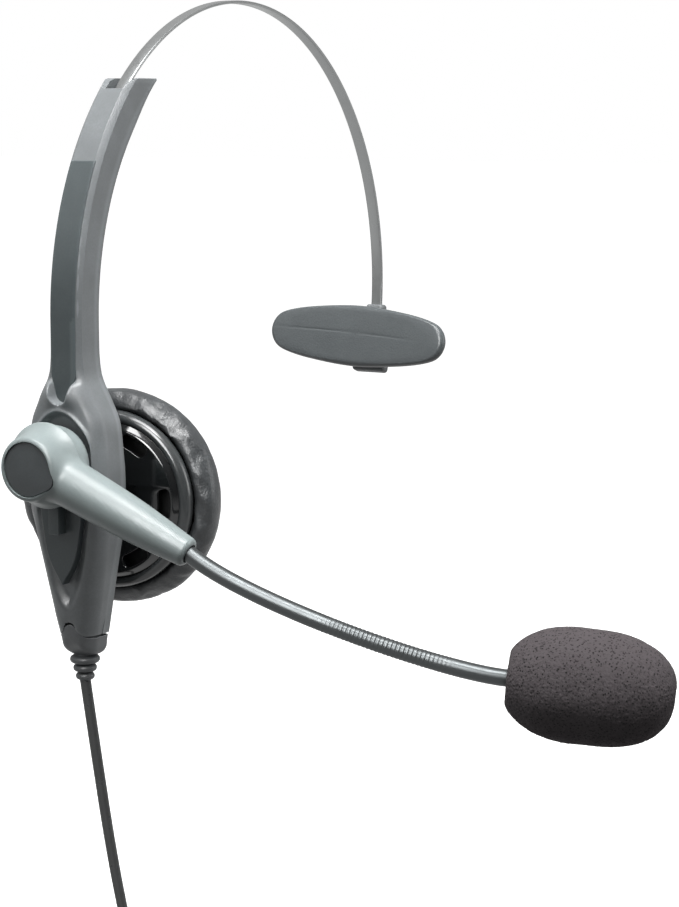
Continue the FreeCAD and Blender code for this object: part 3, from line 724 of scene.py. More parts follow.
def make_bottom_cap():
    """Closes the housing's foot: its upper edge follows the wavy parting line."""
    rings = []
    for share in np.concatenate([np.linspace(0, 0.82, 12), np.linspace(0.82, 1, 9)[1:]]):
        deep = LINE_LEVEL + (FOOT - LINE_LEVEL) * share
        half, outer, inner = body_half(deep) + 0.06, body_outer(deep), body_inner(deep)
        half = half + (4.6 - half) * ease(share) * 0.7
        pull = 2.2 * (1 - math.sqrt(max(1 - max((share - 0.5) / 0.5, 0) ** 2, 0)))
        half, outer, inner = half - pull, outer - pull * 0.9, inner + pull * 0.9
        swell = max(along_table(deep, CREST) + 0.05 - outer, 0) * (1 - ease(share * 1.6 - 0.6))
        corner, inner_corner = min(2.6, half - 0.3), 0.9
        turn = np.linspace(0, math.pi / 2, 9)
        out = np.stack([outer - corner + corner * np.sin(turn), half - corner + corner * np.cos(turn)], -1)
        back = np.stack([inner + inner_corner * (1 - np.sin(turn)),
                         half - inner_corner + inner_corner * np.cos(turn)], -1)[::-1]
        side = np.stack([np.linspace(inner + inner_corner, outer - corner, 8)[1:-1], np.full(6, half)], -1)
        face = np.stack([np.full(11, outer), np.linspace(half - corner, corner - half, 13)[1:-1]], -1)
        section = mirrored(np.concatenate([back, side, out]), face)
        section[:, 0] += swell * (1 - (np.abs(section[:, 1]) / half) ** 2.5) * ease((section[:, 0] - 72) / 4)
        line = cap_line(section)
        tilt = np.gradient(line) / np.linalg.norm(np.gradient(section, axis=0), axis=1)
        top = line - CAP_GAP * (1 + tilt ** 2)
        z = top + (FOOT - top) * share
        if share == 0:
            # A tongue that reaches into the shell, the floor of the groove round it, and the rounded edge.
            for shrink, lower in ((1.6, -1.8), (1.45, 1.0), (1.2, 1.0), (0.7, 0.7), (0.12, 0.0)):
                inset = shrunk(section, np.array([(outer + inner) / 2, 0]), shrink)
                rings.append(place_section(inset, z - lower))
            z = z - 0.12
        rings.append(place_section(section, z))
    settle(loft("bottom_cap_skin", rings, crease=35), "housing", "cap_plastic", "bottom_cap")


PLATE = through([(0, -24.0), (5.0, -26.5), (6.6, -34), (5.6, -44), (3.7, -54), (0, -60.5)], 8)
PLATE_X, PLATE_FLOOR = -80.05, -76.9


def make_boom_plate():
    """Island under the hub, with the block that stops the boom."""
    outline = np.concatenate([PLATE, PLATE[-2:0:-1] * [-1, 1]])
    rings = []
    for depth, inset in ((PLATE_FLOOR, 0.0), (PLATE_X + 0.28, 0.0), (PLATE_X + 0.08, 0.09), (PLATE_X, 0.3)):
        line = shrunk(outline, np.array([0, -38.0]), inset)
        rings.append(np.column_stack([np.full(len(line), depth), line]))
    plate_piece = loft("plate", rings, crease=28)
    corners = rounded_loop([(-1.35, -48.2), (1.35, -48.2), (1.35, -41.8), (-1.35, -41.8)], 0.25)
    block = plate("stop", [corners], -PLATE_X - 0.6, 83.0, 0.16, lambda p: (-p[2], p[0], p[1]), crease=28)
    settle(join("boom_plate_skin", plate_piece, block), "housing", "inlay_plastic", "boom_plate")


def make_strain_relief():
    """Rubber bellows with three rings of falling size."""
    tall, deep = 0.88, 1.05
    profile = [(-76.0, 2.1), (FOOT, 2.1)]
    for z, radius in ((-79.65, 3.55), (-81.75, 2.8), (-83.75, 2.25)):
        for step in range(13):
            turn = math.pi * step / 12
            profile.append((z + tall * math.cos(turn), radius - deep + deep * math.sin(turn) ** 0.8))
    profile += [(-84.9, 1.35), (-84.9, 0.9)]
    settle(turned("strain_relief_skin", profile, (-71.35, 0, 0), (0, 0, 1), 64), "housing",
           "relief_rubber", "strain_relief")


# --------------------------------------------------------------- headband

BAND_R, BAND_THICK, BAND_HALF = 75.0, 0.8, 1.7
BAND_TAIL, BAND_END = 186.0, -19.2
PAD_TURN = 12.6


def polar(radius, degrees, y=0.0):
    """Point on the arch, by its angle over the temple pad's side."""
    turn = math.radians(degrees)
    return np.array([radius * math.cos(turn), y, radius * math.sin(turn)])


def pad_place(x, y, z):
    """From the pad's own level frame to its place down the arch."""
    turn = math.radians(PAD_TURN)
    return np.stack([x * math.cos(turn) + z * math.sin(turn), y, z * math.cos(turn) - x * math.sin(turn)], -1)


def make_band():
    """One spring-steel strip with rolled edges, which bends over the top of the arch."""
    edge = BAND_THICK / 2
    turn = np.linspace(-math.pi / 2, math.pi / 2, 7)
    right = np.stack([edge * np.sin(turn), BAND_HALF - edge + edge * np.cos(turn)], -1)
    section = np.concatenate([right, right[::-1] * [1, -1]])
    rings = [[polar(BAND_R + out, degrees, y) for out, y in section]
             for degrees in np.linspace(BAND_END, BAND_TAIL, 240)]
    band = loft("headband_strip", rings, crease=50)
    settle(band, None, "band_steel", "headband_near", "headband_far")
    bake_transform(band)


def make_band_clip():
    """Moulded clip on the strip's end, rounded, with the lug that holds the pad's pin."""
    edge = 0.9

    def field(p):
        reach = np.hypot(p[:, 0], p[:, 2])
        down = -np.degrees(np.arctan2(p[:, 2], p[:, 0]))
        along = np.radians(down - PAD_TURN) * BAND_R
        half = 2.7 + 2.4 * ease((along + 4.0) / 2.5)
        size = np.stack([np.abs(reach - (BAND_R - 0.15)) - 1.75, np.abs(p[:, 1]) - half,
                         np.abs(along) - 9.7], -1) + edge
        clip = np.linalg.norm(np.maximum(size, 0), axis=1) + np.minimum(size.max(1), 0) - edge
        level, up = p @ pad_place(1, 0, 0), p @ pad_place(0, 0, 1)
        across = np.hypot(level - 71.0, up)
        lug = np.maximum(np.maximum(across - 1.6, np.abs(p[:, 1]) - 2.2), level - 74)
        neck = np.maximum(np.maximum(np.abs(up) - 1.6, np.abs(p[:, 1]) - 2.2), np.abs(level - 72.5) - 1.5)
        return np.maximum(np.minimum(clip, np.minimum(lug, neck)), 0.95 - across)

    clip = surface_net("band_end_clip_skin", field, (66, -6, -32), (79, 6, 0), 0.35, crease=45)
    settle(clip, "headband_far", "cap_plastic", "band_end_clip")


# ------------------------------------------------------------- temple pad

PAD_FACE_R, PAD_THICK, PAD_DROP = 63.9, 3.7, -0.65
PAD_OUTLINE = [(0, 8.65), (14, 7.55), (22.8, 5.8), (26.4, 3.6)]
PAD_HALF_LENGTH, PAD_LEAN, PAD_SHIFT = 27.7, 0.03, 0.6


def make_temple_pad():
    """Soft moulded pad: crowned face, full rounded edge, one shallow pressed line across it."""
    upper = [(-y, half) for y, half in PAD_OUTLINE[:0:-1]] + PAD_OUTLINE
    loop = [(-PAD_HALF_LENGTH, 0)] + upper + [(PAD_HALF_LENGTH, 0)] + [(y, -h) for y, h in upper[::-1]]
    outline = through(loop, 14, closed=True)
    edge, crowned, flat_share = 1.5, 0.25, 0.83
    shares = np.linspace(1, 0, 16)[1:-1]
    lines = [(outline * flat_share * share, crowned) for share in shares[::-1]]
    for turn in np.linspace(-math.pi / 2, math.pi / 2, 13):
        depth = PAD_THICK / 2 + (PAD_THICK / 2 - crowned) * math.sin(turn)
        lines.append((shrunk(outline, 0, edge * (1 - math.cos(turn))), depth))
    lines += [(outline * flat_share * share, PAD_THICK - crowned) for share in shares]
    rings = []
    for line, depth in lines:
        y, z = line[:, 0], line[:, 1]
        front = depth < PAD_THICK / 2
        bulge = crowned * front * np.clip(1 - (y / PAD_HALF_LENGTH) ** 2 - (z / 8.7) ** 2, 0, 1)
        crease_z = 0.35 + 0.045 * (y + 10) - 0.001 * (y + 10) ** 2
        groove = 0.09 * np.exp(-((z - crease_z) / 0.28) ** 2) * ease((26 - np.abs(y - 4)) / 16) * front
        rings.append(pad_place(PAD_FACE_R + depth - bulge + groove, y + PAD_SHIFT,
                               z + PAD_DROP + PAD_LEAN * y))
    pad = loft("temple_pad_skin", rings, crease=60)
    settle(pad, "temple_pad", "pad_rubber", "temple_pad")


# ----------------------------------------------------------------- ear cup

BALL = np.array([-63.7, 0, -43.3])
CUP_AXIS = np.array([math.cos(math.radians(7.0)), math.sin(math.radians(7.0)), 0])
CUP_SIDE = np.array([-CUP_AXIS[1], CUP_AXIS[0], 0])
CUP_UP = np.array([0, 0, 1.0])
CUP_R = 21.4
SLOT_LOW, SLOT_HIGH, SLOT_HALF_ANGLE, SLOT_CORNER = 13.8, 17.0, 13.0, 1.45


def cup_place(p):
    """From (across, up, out along the cup's axis) to the headset's frame."""
    return BALL + CUP_SIDE * p[0] + CUP_UP * p[1] + CUP_AXIS * p[2]


def kidney(middle):
    """Vent outline: part of a ring with its four corners rounded."""
    turns = np.radians(middle + np.linspace(-SLOT_HALF_ANGLE, SLOT_HALF_ANGLE, 15))
    arc = np.stack([np.cos(turns), np.sin(turns)], -1)
    loop = np.concatenate([SLOT_HIGH * arc, SLOT_LOW * arc[::-1]])
    corners = loop[[0, 14, 15, 29]]
    result = []
    for i, point in enumerate(loop):
        before, after = unit(loop[i - 1] - point), unit(loop[(i + 1) % 30] - point)
        if before @ after > -0.5:
            result += corner_arc(point + before * SLOT_CORNER, point, point + after * SLOT_CORNER, 6)
        elif np.linalg.norm(corners - point, axis=1).min() > SLOT_CORNER:
            result.append(point)
    return np.array(result)


def make_cup_back():
    """Gloss dish: flat floor with six vents, a sloped ring round it and the swivel's socket."""
    floor_r, outer = 17.65, CUP_R - 1.2
    slots = [kidney(60 * i) for i in range(6)]
    floor = plate("floor", [circle(floor_r), circle(3.2, 48)] + slots, 1.9, 3.0, 0.14, cup_place, crease=35)
    slope = [(3.0, 17.3), (1.92, 17.3), (1.94, 17.6), (2.15, 17.9), (2.6, 18.4), (3.1, 19.0), (3.6, 19.6),
             (4.0, 19.9), (4.2, outer), (5.4, outer), (5.4, 18.4), (3.1, 17.4)]
    slope = rounded(slope + slope[:1], 0.35, 3)[:-1]
    ring = turned("slope", slope, BALL, CUP_AXIS, 160, closed=True)
    socket = rounded([(2.6, 6.6), (1.0, 6.2), (-2.7, 6.0), (-2.9, 5.8), (-2.9, 4.1), (-1.4, 4.9), (2.6, 4.7)],
                     0.3)
    collar = turned("socket", socket, BALL, CUP_AXIS, 72, closed=True)
    settle(join("cup_back_skin", floor, ring, collar), "ear_cup", "gloss_black", "cup_back")


def make_cup_rim():
    """Half-gloss ring round the dish, with a wall that runs back to the speaker."""
    profile = [(3.12, 18.95), (2.95, 18.9), (2.72, 19.2), (2.65, 19.7), (2.75, 20.2), (3.1, 20.75),
               (3.7, 21.2), (4.5, CUP_R), (5.3, CUP_R), (5.75, 21.1), (6.1, 20.8), (11.6, 20.8),
               (11.6, 20.25), (4.1, 20.25)]
    profile = rounded(profile + profile[:1], 0.25, 3)[:-1]
    rim = turned("cup_rim_skin", profile, BALL, CUP_AXIS, 160, crease=40, closed=True)
    settle(rim, "ear_cup", "rim_plastic", "cup_rim")


def make_grille():
    """Flat grille over the speaker with rings of round holes."""
    holes = [circle(0.9, 20, centre)
             for radius in (3.0, 6.0, 9.0) for centre in circle(radius, round(radius * 2))]
    grille = plate("speaker_grille_skin", [circle(20.1)] + holes, 10.7, 11.6, 0.12, cup_place)
    settle(grille, "ear_cup", "black_plastic", "speaker_grille")


def cushion_profile():
    """Closed line round the cushion's section before it is filled: (out along the axis, radius)."""
    middle, start_size = np.array([13.0, 18.6]), 0.965
    points = [(6.3, 21.3), (5.35, 21.9), (5.2, 23.0), (6.0, 24.4), (7.9, 25.4), (10.6, 25.6), (13.3, 24.7),
              (16.1, 22.2), (17.6, 18.4), (17.8, 15.6), (17.0, 12.4), (15.4, 10.5), (13.4, 10.3),
              (12.0, 11.2), (11.85, 14.5), (11.85, 18.0), (11.8, 20.9), (9.0, 20.95)]
    return middle + (through(points, 5, closed=True) - middle) * start_size


def wrinkled(points):
    """Fine gathers that run out from the seam and die away over the cushion's side."""
    seed = 3.0
    from_ball = points - BALL
    turn = np.arctan2(from_ball @ CUP_UP, from_ball @ CUP_SIDE)
    out = from_ball @ CUP_AXIS
    radial = from_ball - out[:, None] * CUP_AXIS
    radius = np.linalg.norm(radial, axis=1)
    normal = radial / radius[:, None]
    away = np.clip((out - 5.2) / 8.0, 0, 1) + np.clip((radius - 26) / 4, 0, 1)
    height = np.zeros(len(points))
    for i, (angle, reach) in enumerate(zip(turn, out)):
        round_spot = np.array([math.cos(angle), math.sin(angle)])
        spot = Vector((*(round_spot * 5.2), reach * 0.10 + seed))
        folds = noise.noise(spot * 2.3) + 0.6 * noise.noise(spot * 5.1 + Vector((7, 1, 3)))
        slow = noise.noise(Vector((*(round_spot * 1.3), reach * 0.08 + seed)))
        fine = noise.noise(spot * 11.0) * 0.10
        height[i] = (0.50 * folds + fine) * math.exp(-2.0 * away[i]) + 0.22 * slow + fine * 0.7
    side = np.clip((radius - 20.5) / 2.0, 0, 1)
    return points + normal * (height * side)[:, None]


def puff(piece, seam, cap):
    """Lets the cover swell like a filled cushion: cloth under pressure, held at its seam.

    The simulation runs at a larger scale, on an even mesh; cap is the most that a point moves, in mm.
    """
    for vertex in piece.data.vertices:
        vertex.co *= SCALED
    remesh = piece.modifiers.new("even", "REMESH")
    remesh.mode, remesh.voxel_size = "VOXEL", 0.0115
    even = evaluated(piece)
    piece.modifiers.clear()
    piece.data = even
    start = np.array([v.co for v in even.vertices])
    held = piece.vertex_groups.new(name="seam")
    for vertex in even.vertices:
        weight = seam(np.array(vertex.co) / SCALED / MM)
        if weight > 0:
            held.add([vertex.index], float(weight), "REPLACE")
    cloth = piece.modifiers.new("cloth", "CLOTH")
    cloth.collision_settings.use_collision = False
    cover = cloth.settings
    cover.quality, cover.mass = 6, 0.3
    cover.tension_stiffness = cover.compression_stiffness = 12
    cover.bending_stiffness, cover.shrink_min = 0.06, -0.06
    cover.use_pressure, cover.uniform_pressure_force = True, 3.0
    cover.effector_weights.gravity = 0
    cover.vertex_group_mass = "seam"
    scene = bpy.context.scene
    for number in range(1, CLOTH_FRAMES + 1):
        scene.frame_set(number)
    result = piece.evaluated_get(bpy.context.evaluated_depsgraph_get()).to_mesh()
    moved = np.array([v.co for v in result.vertices]) - start
    piece.modifiers.clear()
    scene.frame_set(1)
    size = np.linalg.norm(moved, axis=1)
    limit = cap * MM * SCALED
    moved *= (limit * np.tanh(size / limit) / np.maximum(size, 1e-9))[:, None]
    for vertex, place in zip(even.vertices, start + moved):
        vertex.co = Vector(place) / SCALED
    piece.vertex_groups.clear()


def make_ear_cushion():
    """Leatherette ring over foam, gathered where it tucks behind the cup's rim."""
    cushion = turned("ear_cushion_skin", cushion_profile(), BALL, CUP_AXIS, 220, closed=True)

    def seam(spot):
        """1 where the cover is held: behind the rim, and where it lies on the speaker's frame."""
        out = (spot - BALL) @ CUP_AXIS
        radius = np.linalg.norm(spot - BALL - out * CUP_AXIS)
        return float((radius < 21.9 and out < 6.6) or (radius < 21.0 and out < 12.4))

    puff(cushion, seam, 0.55)
    points = wrinkled(np.array([v.co for v in cushion.data.vertices]) / MM)
    for vertex, place in zip(cushion.data.vertices, points):
        vertex.co = Vector(place) * MM
    cushion.data.shade_smooth()
    finer = cushion.modifiers.new("finer", "SUBSURF")
    finer.levels = finer.render_levels = 1
    settle(cushion, "ear_cup", "leatherette", "ear_cushion")


# -------------------------------------------------------------------- boom

HUB_Z = -31.8
ARM_ROOT, ARM_TIP = np.array([-87.0, 0, HUB_Z]), np.array([-84.0, -37.5, -49.0])
ARM_ALONG = unit(ARM_TIP - ARM_ROOT)
ARM_LENGTH = float(np.linalg.norm(ARM_TIP - ARM_ROOT))
HUB_SIDE = np.concatenate([
    through([(-93.0, 6.7), (-92.2, 7.4), (-89.0, 8.2), (-87.0, 9.1), (-85.8, 10.0)], 6),
    [(-85.4, 9.9), (-85.1, 9.4), (-84.9, 8.8), (-81.4, 8.8), (-80.4, 8.5)]])
HUB_FACE, HUB_FOOT = 93.0, 80.4
ARM_SIDE = through([(-8, 5.9), (0, 5.8), (16, 5.3), (25, 4.9), (32, 4.3), (39, 3.55), (42, 3.3)], 6)
NECK_R, NECK_HOLE, HOLE_DEPTH = 1.9, 2.25, 3.0
DROP_R, DROP_REACH, CAP_SUNK = 6.35, 8.5, 0.9


def hub_and_arm(p):
    """Distance to the drum and the tapered arm, moulded as one with a soft fillet."""
    radius = np.hypot(p[:, 1], p[:, 2] - HUB_Z)
    drum = radius - along_table(p[:, 0], HUB_SIDE)
    drum = np.maximum(drum, np.maximum(-HUB_FACE - p[:, 0], p[:, 0] + HUB_FOOT))
    away = p - ARM_ROOT
    along = away @ ARM_ALONG
    radius = np.linalg.norm(away - along[:, None] * ARM_ALONG, axis=1)
    arm = radius - along_table(along, ARM_SIDE)
    tip = along - ARM_LENGTH
    edge = 1.1
    outer = np.stack([np.maximum(arm + edge, 0), np.maximum(tip + edge, 0)], -1)
    arm = np.linalg.norm(outer, axis=1) + np.minimum(np.maximum(arm + edge, tip + edge), 0) - edge
    arm = np.maximum(arm, -along - 2)
    return smooth_min(drum, arm, 1.6)


def teardrop(size=1.0):
    """Round outline with one corner drawn out towards the arm, in (across, up) of the hub's face."""
    heading = math.atan2(ARM_ALONG[2], ARM_ALONG[1])
    tangent = math.acos(DROP_R / DROP_REACH)
    turns = np.linspace(heading + tangent, heading + 2 * math.pi - tangent, 60)
    loop = DROP_R * np.stack([np.cos(turns), np.sin(turns)], -1)
    point = DROP_REACH * np.array([math.cos(heading), math.sin(heading)])
    enter, leave = (end + (point - end) * 0.55 for end in (loop[-1], loop[0]))
    return np.concatenate([loop, corner_arc(enter, point, leave, 8)]) * size


def hub_place(p):
    """From (across, up, out of the hub's face) to the headset's frame."""
    return np.array([-p[2], p[0], p[1] + HUB_Z])


def make_boom_arm():
    """Hub and arm with the cap's pocket and the gooseneck's socket cut in, and the cap itself."""
    floor = HUB_FACE - CAP_SUNK
    arm = surface_net("boom_arm_skin", hub_and_arm, (-94.2, -41.5, -54), (-79.6, 11, -20.6), 0.38, crease=50)
    pocket = plate("pocket", [teardrop()], floor, HUB_FACE + 2, 0.02, hub_place)
    hole = turned("hole", [(-HOLE_DEPTH, NECK_HOLE), (2, NECK_HOLE)], ARM_TIP, ARM_ALONG, 48)
    settle(cut(arm, pocket, hole, crease=50), "boom", "boom_plastic", "boom_arm")
    drop = plate("hub_cap_skin", [teardrop(0.975)], floor - 0.2, HUB_FACE - 0.3, 0.2, hub_place, crease=25)
    settle(drop, "boom", "hub_cap_plastic", "hub_cap")


NECK = np.array([ARM_TIP, (-84.8, -53.0, -58.5), (-70.7, -97.0, -72.7), (-64.0, -107.6, -73.2)])
RIB_PITCH, RIB_DEPTH, RIBS_FROM, RIBS_TO_END, RIBS_FADE = 0.95, 0.12, 30, 12, 10
NECK_STEP, NECK_COLUMNS = 0.142, 40


def make_gooseneck():
    """Flexible tube in five lengths, each reaching across the place of one joint; fine ribs show in the
    middle.
    """
    t = np.linspace(0, 1, 1401)[:, None]
    curve = ((1 - t) ** 3 * NECK[0] + 3 * (1 - t) ** 2 * t * NECK[1] + 3 * (1 - t) * t * t * NECK[2]
             + t ** 3 * NECK[3])
    run = run_along(curve)
    length = run[-1]

    def spot(s):
        return np.array([np.interp(s, run, curve[:, k]) for k in range(3)])

    breaks = [-4.0] + [length * (i + 0.5) / 6 for i in range(1, 5)] + [length + 1.0]
    guide, look, reach = unit(np.array([1.0, 0, 0.2])), 0.4, 5.0
    for number, (start, end) in enumerate(zip(breaks, breaks[1:])):
        rings = []
        for s in np.linspace(start, end, max(int((end - start) / NECK_STEP), 8)):
            inside = min(max(s, 0), length)
            ahead, behind = spot(min(inside + look, length)), spot(max(inside - look, 0))
            along = unit(ahead - behind) if s >= 0 else ARM_ALONG
            first = unit(np.cross(along, guide))
            around = hoop(first, np.cross(first, along), NECK_COLUMNS)
            ribbed = ease((s - RIBS_FROM) / RIBS_FADE) * ease((length - RIBS_TO_END - s) / RIBS_FADE)
            wave = abs(math.sin(math.pi * s / RIB_PITCH))
            radius = NECK_R - RIB_DEPTH * ribbed * (1 - wave) ** 1.5
            rings.append(spot(inside) + along * (s - inside) + radius * around)
        tube = loft("gooseneck_tube_%d" % (number + 1), rings, crease=60)
        nodes = ["gooseneck_%d" % (number + 1)] + (["gooseneck_6"] if number == 4 else [])
        settle(tube, None, "neck_metal", *nodes)
        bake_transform(tube)


# -------------------------------------------------------------- microphone

FOAM_CENTRE = np.array([-58.2, -122.2, -74.6])
FOAM_R, FOAM_HALF = 12.75, 18.75
MIC_AXIS = unit(FOAM_CENTRE - NECK[3])


def make_windscreen():
    """Open-cell foam: a blunt egg with the tube sunk in its end, and pores all over."""
    rows, columns = 290, 340
    start, stop = 0.05, math.pi - 0.012
    round_line = hoop(*side_axes(MIC_AXIS), columns)
    rings = []
    for i in range(rows):
        around = start + (stop - start) * i / (rows - 1)
        along = -FOAM_HALF * math.copysign(abs(math.cos(around)) ** 0.86, math.cos(around))
        radius = FOAM_R * math.sin(around) ** 0.74
        radius *= 1 - 0.035 * math.exp(-((along + 16) / 6) ** 2)
        mouth = math.exp(-(max(radius - 2.2, 0) / 2.3) ** 2) if along < 0 else 0
        rings.append(FOAM_CENTRE + MIC_AXIS * (along + 2.4 * mouth) + radius * round_line)
    flat = np.array(rings).reshape(-1, 3)
    outward = flat - (FOAM_CENTRE + np.outer((flat - FOAM_CENTRE) @ MIC_AXIS * 0.55, MIC_AXIS))
    outward /= np.linalg.norm(outward, axis=1)[:, None]
    height = np.empty(len(flat))
    for i, spot in enumerate(flat):
        place = Vector(spot)
        pit = min(noise.voronoi(place * 1.7)[0][0] * 1.3, 1.0)
        slow = noise.noise(place * 0.11) * 0.35 + noise.noise(place * 0.35) * 0.08
        height[i] = slow + 0.14 * (pit - 0.62)
    flat = flat + outward * height[:, None] - outward * 0.12
    foam = loft("mic_windscreen_skin", flat.reshape(rows, columns, 3), crease=180)
    settle(foam, "microphone", "foam", "mic_windscreen")


# -------------------------------------------------------------------- cord

CORD_WIDTH, CORD_THICK = 2.9, 1.55
LEAD_ROUTE = [(-71.35, 0, -84.9), (-67.9, 0, -101.5), (-61.2, 0, -132),
              (-56.0, -1.5, -156), (-54.0, -5, -174)]
TAIL_ROUTE = [(-46.5, 8.7, -178), (-46.5, 8.7, -158.7), (-41, -9.8, -158.7), (-41, -9.8, -178)]
HANK_X, HANK_TOP, HANK_FOOT = -50.5, -181.0, -221.0
HANK_TURNS, TURN_R, TURN_PITCH = 5, 8.7, 1.85
POINTS_PER_END, LEAD_POINTS = 5, 34


def hank_points():
    """The hank's turns: long loops side by side, from the lead's end to the tail's start."""
    points = []
    first_x = HANK_X - TURN_PITCH * (HANK_TURNS - 1) / 2
    halves = HANK_TURNS * 2
    for half in range(halves):
        down = half % 2 == 0
        side = -1 if down else 1
        x = first_x + TURN_PITCH * half / 2 * (HANK_TURNS - 1) / HANK_TURNS
        end_z = (HANK_FOOT if down else HANK_TOP) + 0.5 * math.sin(half * 2.4)
        start, stop = (HANK_TOP, HANK_FOOT) if down else (HANK_FOOT, HANK_TOP)
        points += [(x, side * TURN_R, start + (stop - start) * share) for share in (0.15, 0.5, 0.85)]
        if half == halves - 1:
            break
        for step in range(POINTS_PER_END):
            share = (step + 0.5) / POINTS_PER_END
            points.append((x + TURN_PITCH / 2 * share, side * TURN_R * math.cos(math.pi * share) * 1.08,
                           end_z + side * TURN_R * math.sin(math.pi * share) * 1.08))
    return points


def cord_line(points):
    """Smooth line through a route in millimetres, as points in metres."""
    data = bpy.data.curves.new("route", "CURVE")
    data.dimensions = "3D"
    spline = data.splines.new("NURBS")
    spline.points.add(len(points) - 1)
    for point, place in zip(spline.points, points):
        point.co = (place[0] * MM, place[1] * MM, place[2] * MM, 1)
    spline.order_u = 3
    spline.use_endpoint_u = True
    data.resolution_u = 10
    route = link("route", data)
    line = bpy.data.meshes.new_from_object(route)
    bpy.data.objects.remove(route)
    return [tuple(v.co) for v in line.vertices]


def make_cord():
    """Flat twin lead: two round lobes side by side, swept along the route.

    It lies flat to the front along the lead and turns on its side in the hank.
    """
    path = cord_line(LEAD_ROUTE + hank_points() + TAIL_ROUTE)
    line = np.array(path) / MM
    lobe = CORD_THICK / 2
    offset = CORD_WIDTH / 2 - lobe
    valley = 0.62 * math.pi
    turns = np.linspace(-valley, valley, 9)
    right = np.stack([offset + lobe * np.cos(turns), lobe * np.sin(turns)], -1)
    section = np.concatenate([right, -right])
    wide = np.array([0, 1.0, 0])
    rings = []
    for i, spot in enumerate(line):
        along = unit(line[min(i + 1, len(line) - 1)] - line[max(i - 1, 0)])
        if abs(along[1]) > 0.9:
            wide = unit(wide - along * (wide @ along))
        else:
            target = 0.8 * wide + 0.2 * np.array([0, 1.0, 0] if i < LEAD_POINTS else [1.0, 0, 0])
            wide = unit(target - along * (target @ along))
        thick = np.cross(along, wide)
        rings.append(spot + section[:, :1] * wide + section[:, 1:] * thick)
    cord = loft("cord", rings, crease=80)
    settle(cord, "housing", "cord_jacket", "cord_lead", "cord_hank", "cord_tail")


def make_connector():
    """Quick-disconnect plug: round-edged body with grip ribs, and a tapered boot."""
    plug_x, plug_y, top, length = -41.0, -9.8, -184.0, 38.0
    half_x, half_y, corner = 3.6, 5.5, 1.6

    def section(shrink):
        hx, hy = half_x - shrink, half_y - shrink
        return rounded_loop([(hx, hy), (-hx, hy), (-hx, -hy), (hx, -hy)], max(corner - shrink, 0.3), 5)

    stations = [(0, 1.3), (0.25, 0.6), (0.9, 0.12), (1.6, 0.0)]
    for rib in range(6):
        z = 6 + rib * 1.9
        stations += [(z, 0.0), (z + 0.3, 0.38), (z + 0.9, 0.38), (z + 1.2, 0.0)]
    stations += [(length - 12, 0.0), (length - 11.8, 0.3), (length - 11.4, 0.3), (length - 11.2, 0.0),
                 (length - 0.8, 0.0), (length - 0.2, 0.25), (length, 0.8)]
    rings = [[(plug_x + x, plug_y + y, top - down) for x, y in section(shrink)] for down, shrink in stations]
    body = loft("connector_body_skin", rings, crease=35)
    bore = turned("bore", [(-1, 2.5), (8, 2.5), (8, 2.1), (9.5, 2.1)], (plug_x, plug_y, top - length),
                  (0, 0, 1), 40)
    settle(cut(body, bore, crease=35), "housing", "black_plastic", "connector_body")
    profile = [(0.02, 3.15)]
    for ring in range(4):
        z, radius = 0.5 + ring * 1.35, 3.1 - ring * 0.38
        profile += [(z, radius), (z + 0.6, radius - 0.05), (z + 0.75, radius - 0.5), (z + 1.2, radius - 0.55)]
    profile += [(6.0, 1.5)]
    settle(turned("connector_boot_skin", profile, (plug_x, plug_y, top), (0, 0, 1), 48), "housing",
           "relief_rubber", "connector_boot")


def make_hank_tie():
    """Soft band round the hank and the plug, pulled in slightly between its edges."""
    low_x, high_x, low_y, high_y = -56.3, -37.4, -15.3, 10.2
    loop = rounded_loop([(high_x, high_y), (low_x, high_y), (low_x, low_y), (high_x, low_y)], 4.5, 8)
    centre = np.array([(low_x + high_x) / 2, (low_y + high_y) / 2])
    rings = []
    for z, out in ((-205.0, 0.15), (-204.7, 0.55), (-203.5, 0.72), (-201, 0.6), (-198.5, 0.72),
                   (-197.3, 0.55), (-197.0, 0.15), (-197.3, -0.05), (-201, -0.05), (-204.7, -0.05)):
        rings.append(np.column_stack([shrunk(loop, centre, -out), np.full(len(loop), z)]))
    settle(loft("hank_tie_skin", rings, crease=45, closed=True), "housing", "tie_rubber", "hank_tie")


# -------------------------------------------------- small parts and stage

def make_screws():
    """Cross-head screws that hold the shells together."""
    pieces = []
    for z in SCREW_LEVELS:
        profile = rounded([(-75.1, 0.05), (-75.1, 0.55), (-74.5, 0.9), (-69.9, 0.9), (-69.9, 1.8),
                           (-69.2, 1.75), (-68.9, 1.1), (-68.88, 0.02)], 0.2)
        screw = turned("screw", profile, (0, 0, z), (1, 0, 0), 40, crease=35)
        bars = [plate("bar", [rounded_loop([(-a, -b), (a, -b), (a, b), (-a, b)], 0.08)], 68.55, 69.45, 0.01,
                      lambda p, z=z: (-p[2], p[0], z + p[1])) for a, b in ((1.05, 0.2), (0.2, 1.05))]
        pieces.append(cut(screw, *bars, crease=35))
    settle(join("shell_screws_skin", *pieces), "housing", "magnet_steel", "shell_screws")


KEPT = {
    "nylon": ["boom_bush", "swivel_race", "friction_washer"],
    "black_plastic": ["swivel_stem", "slider_block", "race_retainer", "speaker_frame", "hub_spindle",
                      "mic_case"],
    "inlay_plastic": ["pad_carrier"],
    "circuit_board": ["terminal_board"],
    "band_steel": ["detent_spring"],
    "magnet_steel": ["slider_rivets", "pad_pin", "speaker_magnet", "spindle_screw"],
    "neck_metal": ["mic_capsule"],
    "diaphragm_film": ["diaphragm"],
    "felt": ["damping_felt"],
    "contact_brass": ["connector_contacts"],
}


def finish_kept_nodes():
    """Finishes for the hidden parts, which keep their CAD shape."""
    for finish, names in KEPT.items():
        for name in names:
            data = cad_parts[name].data
            data.materials.clear()
            data.materials.append(FINISH[finish])


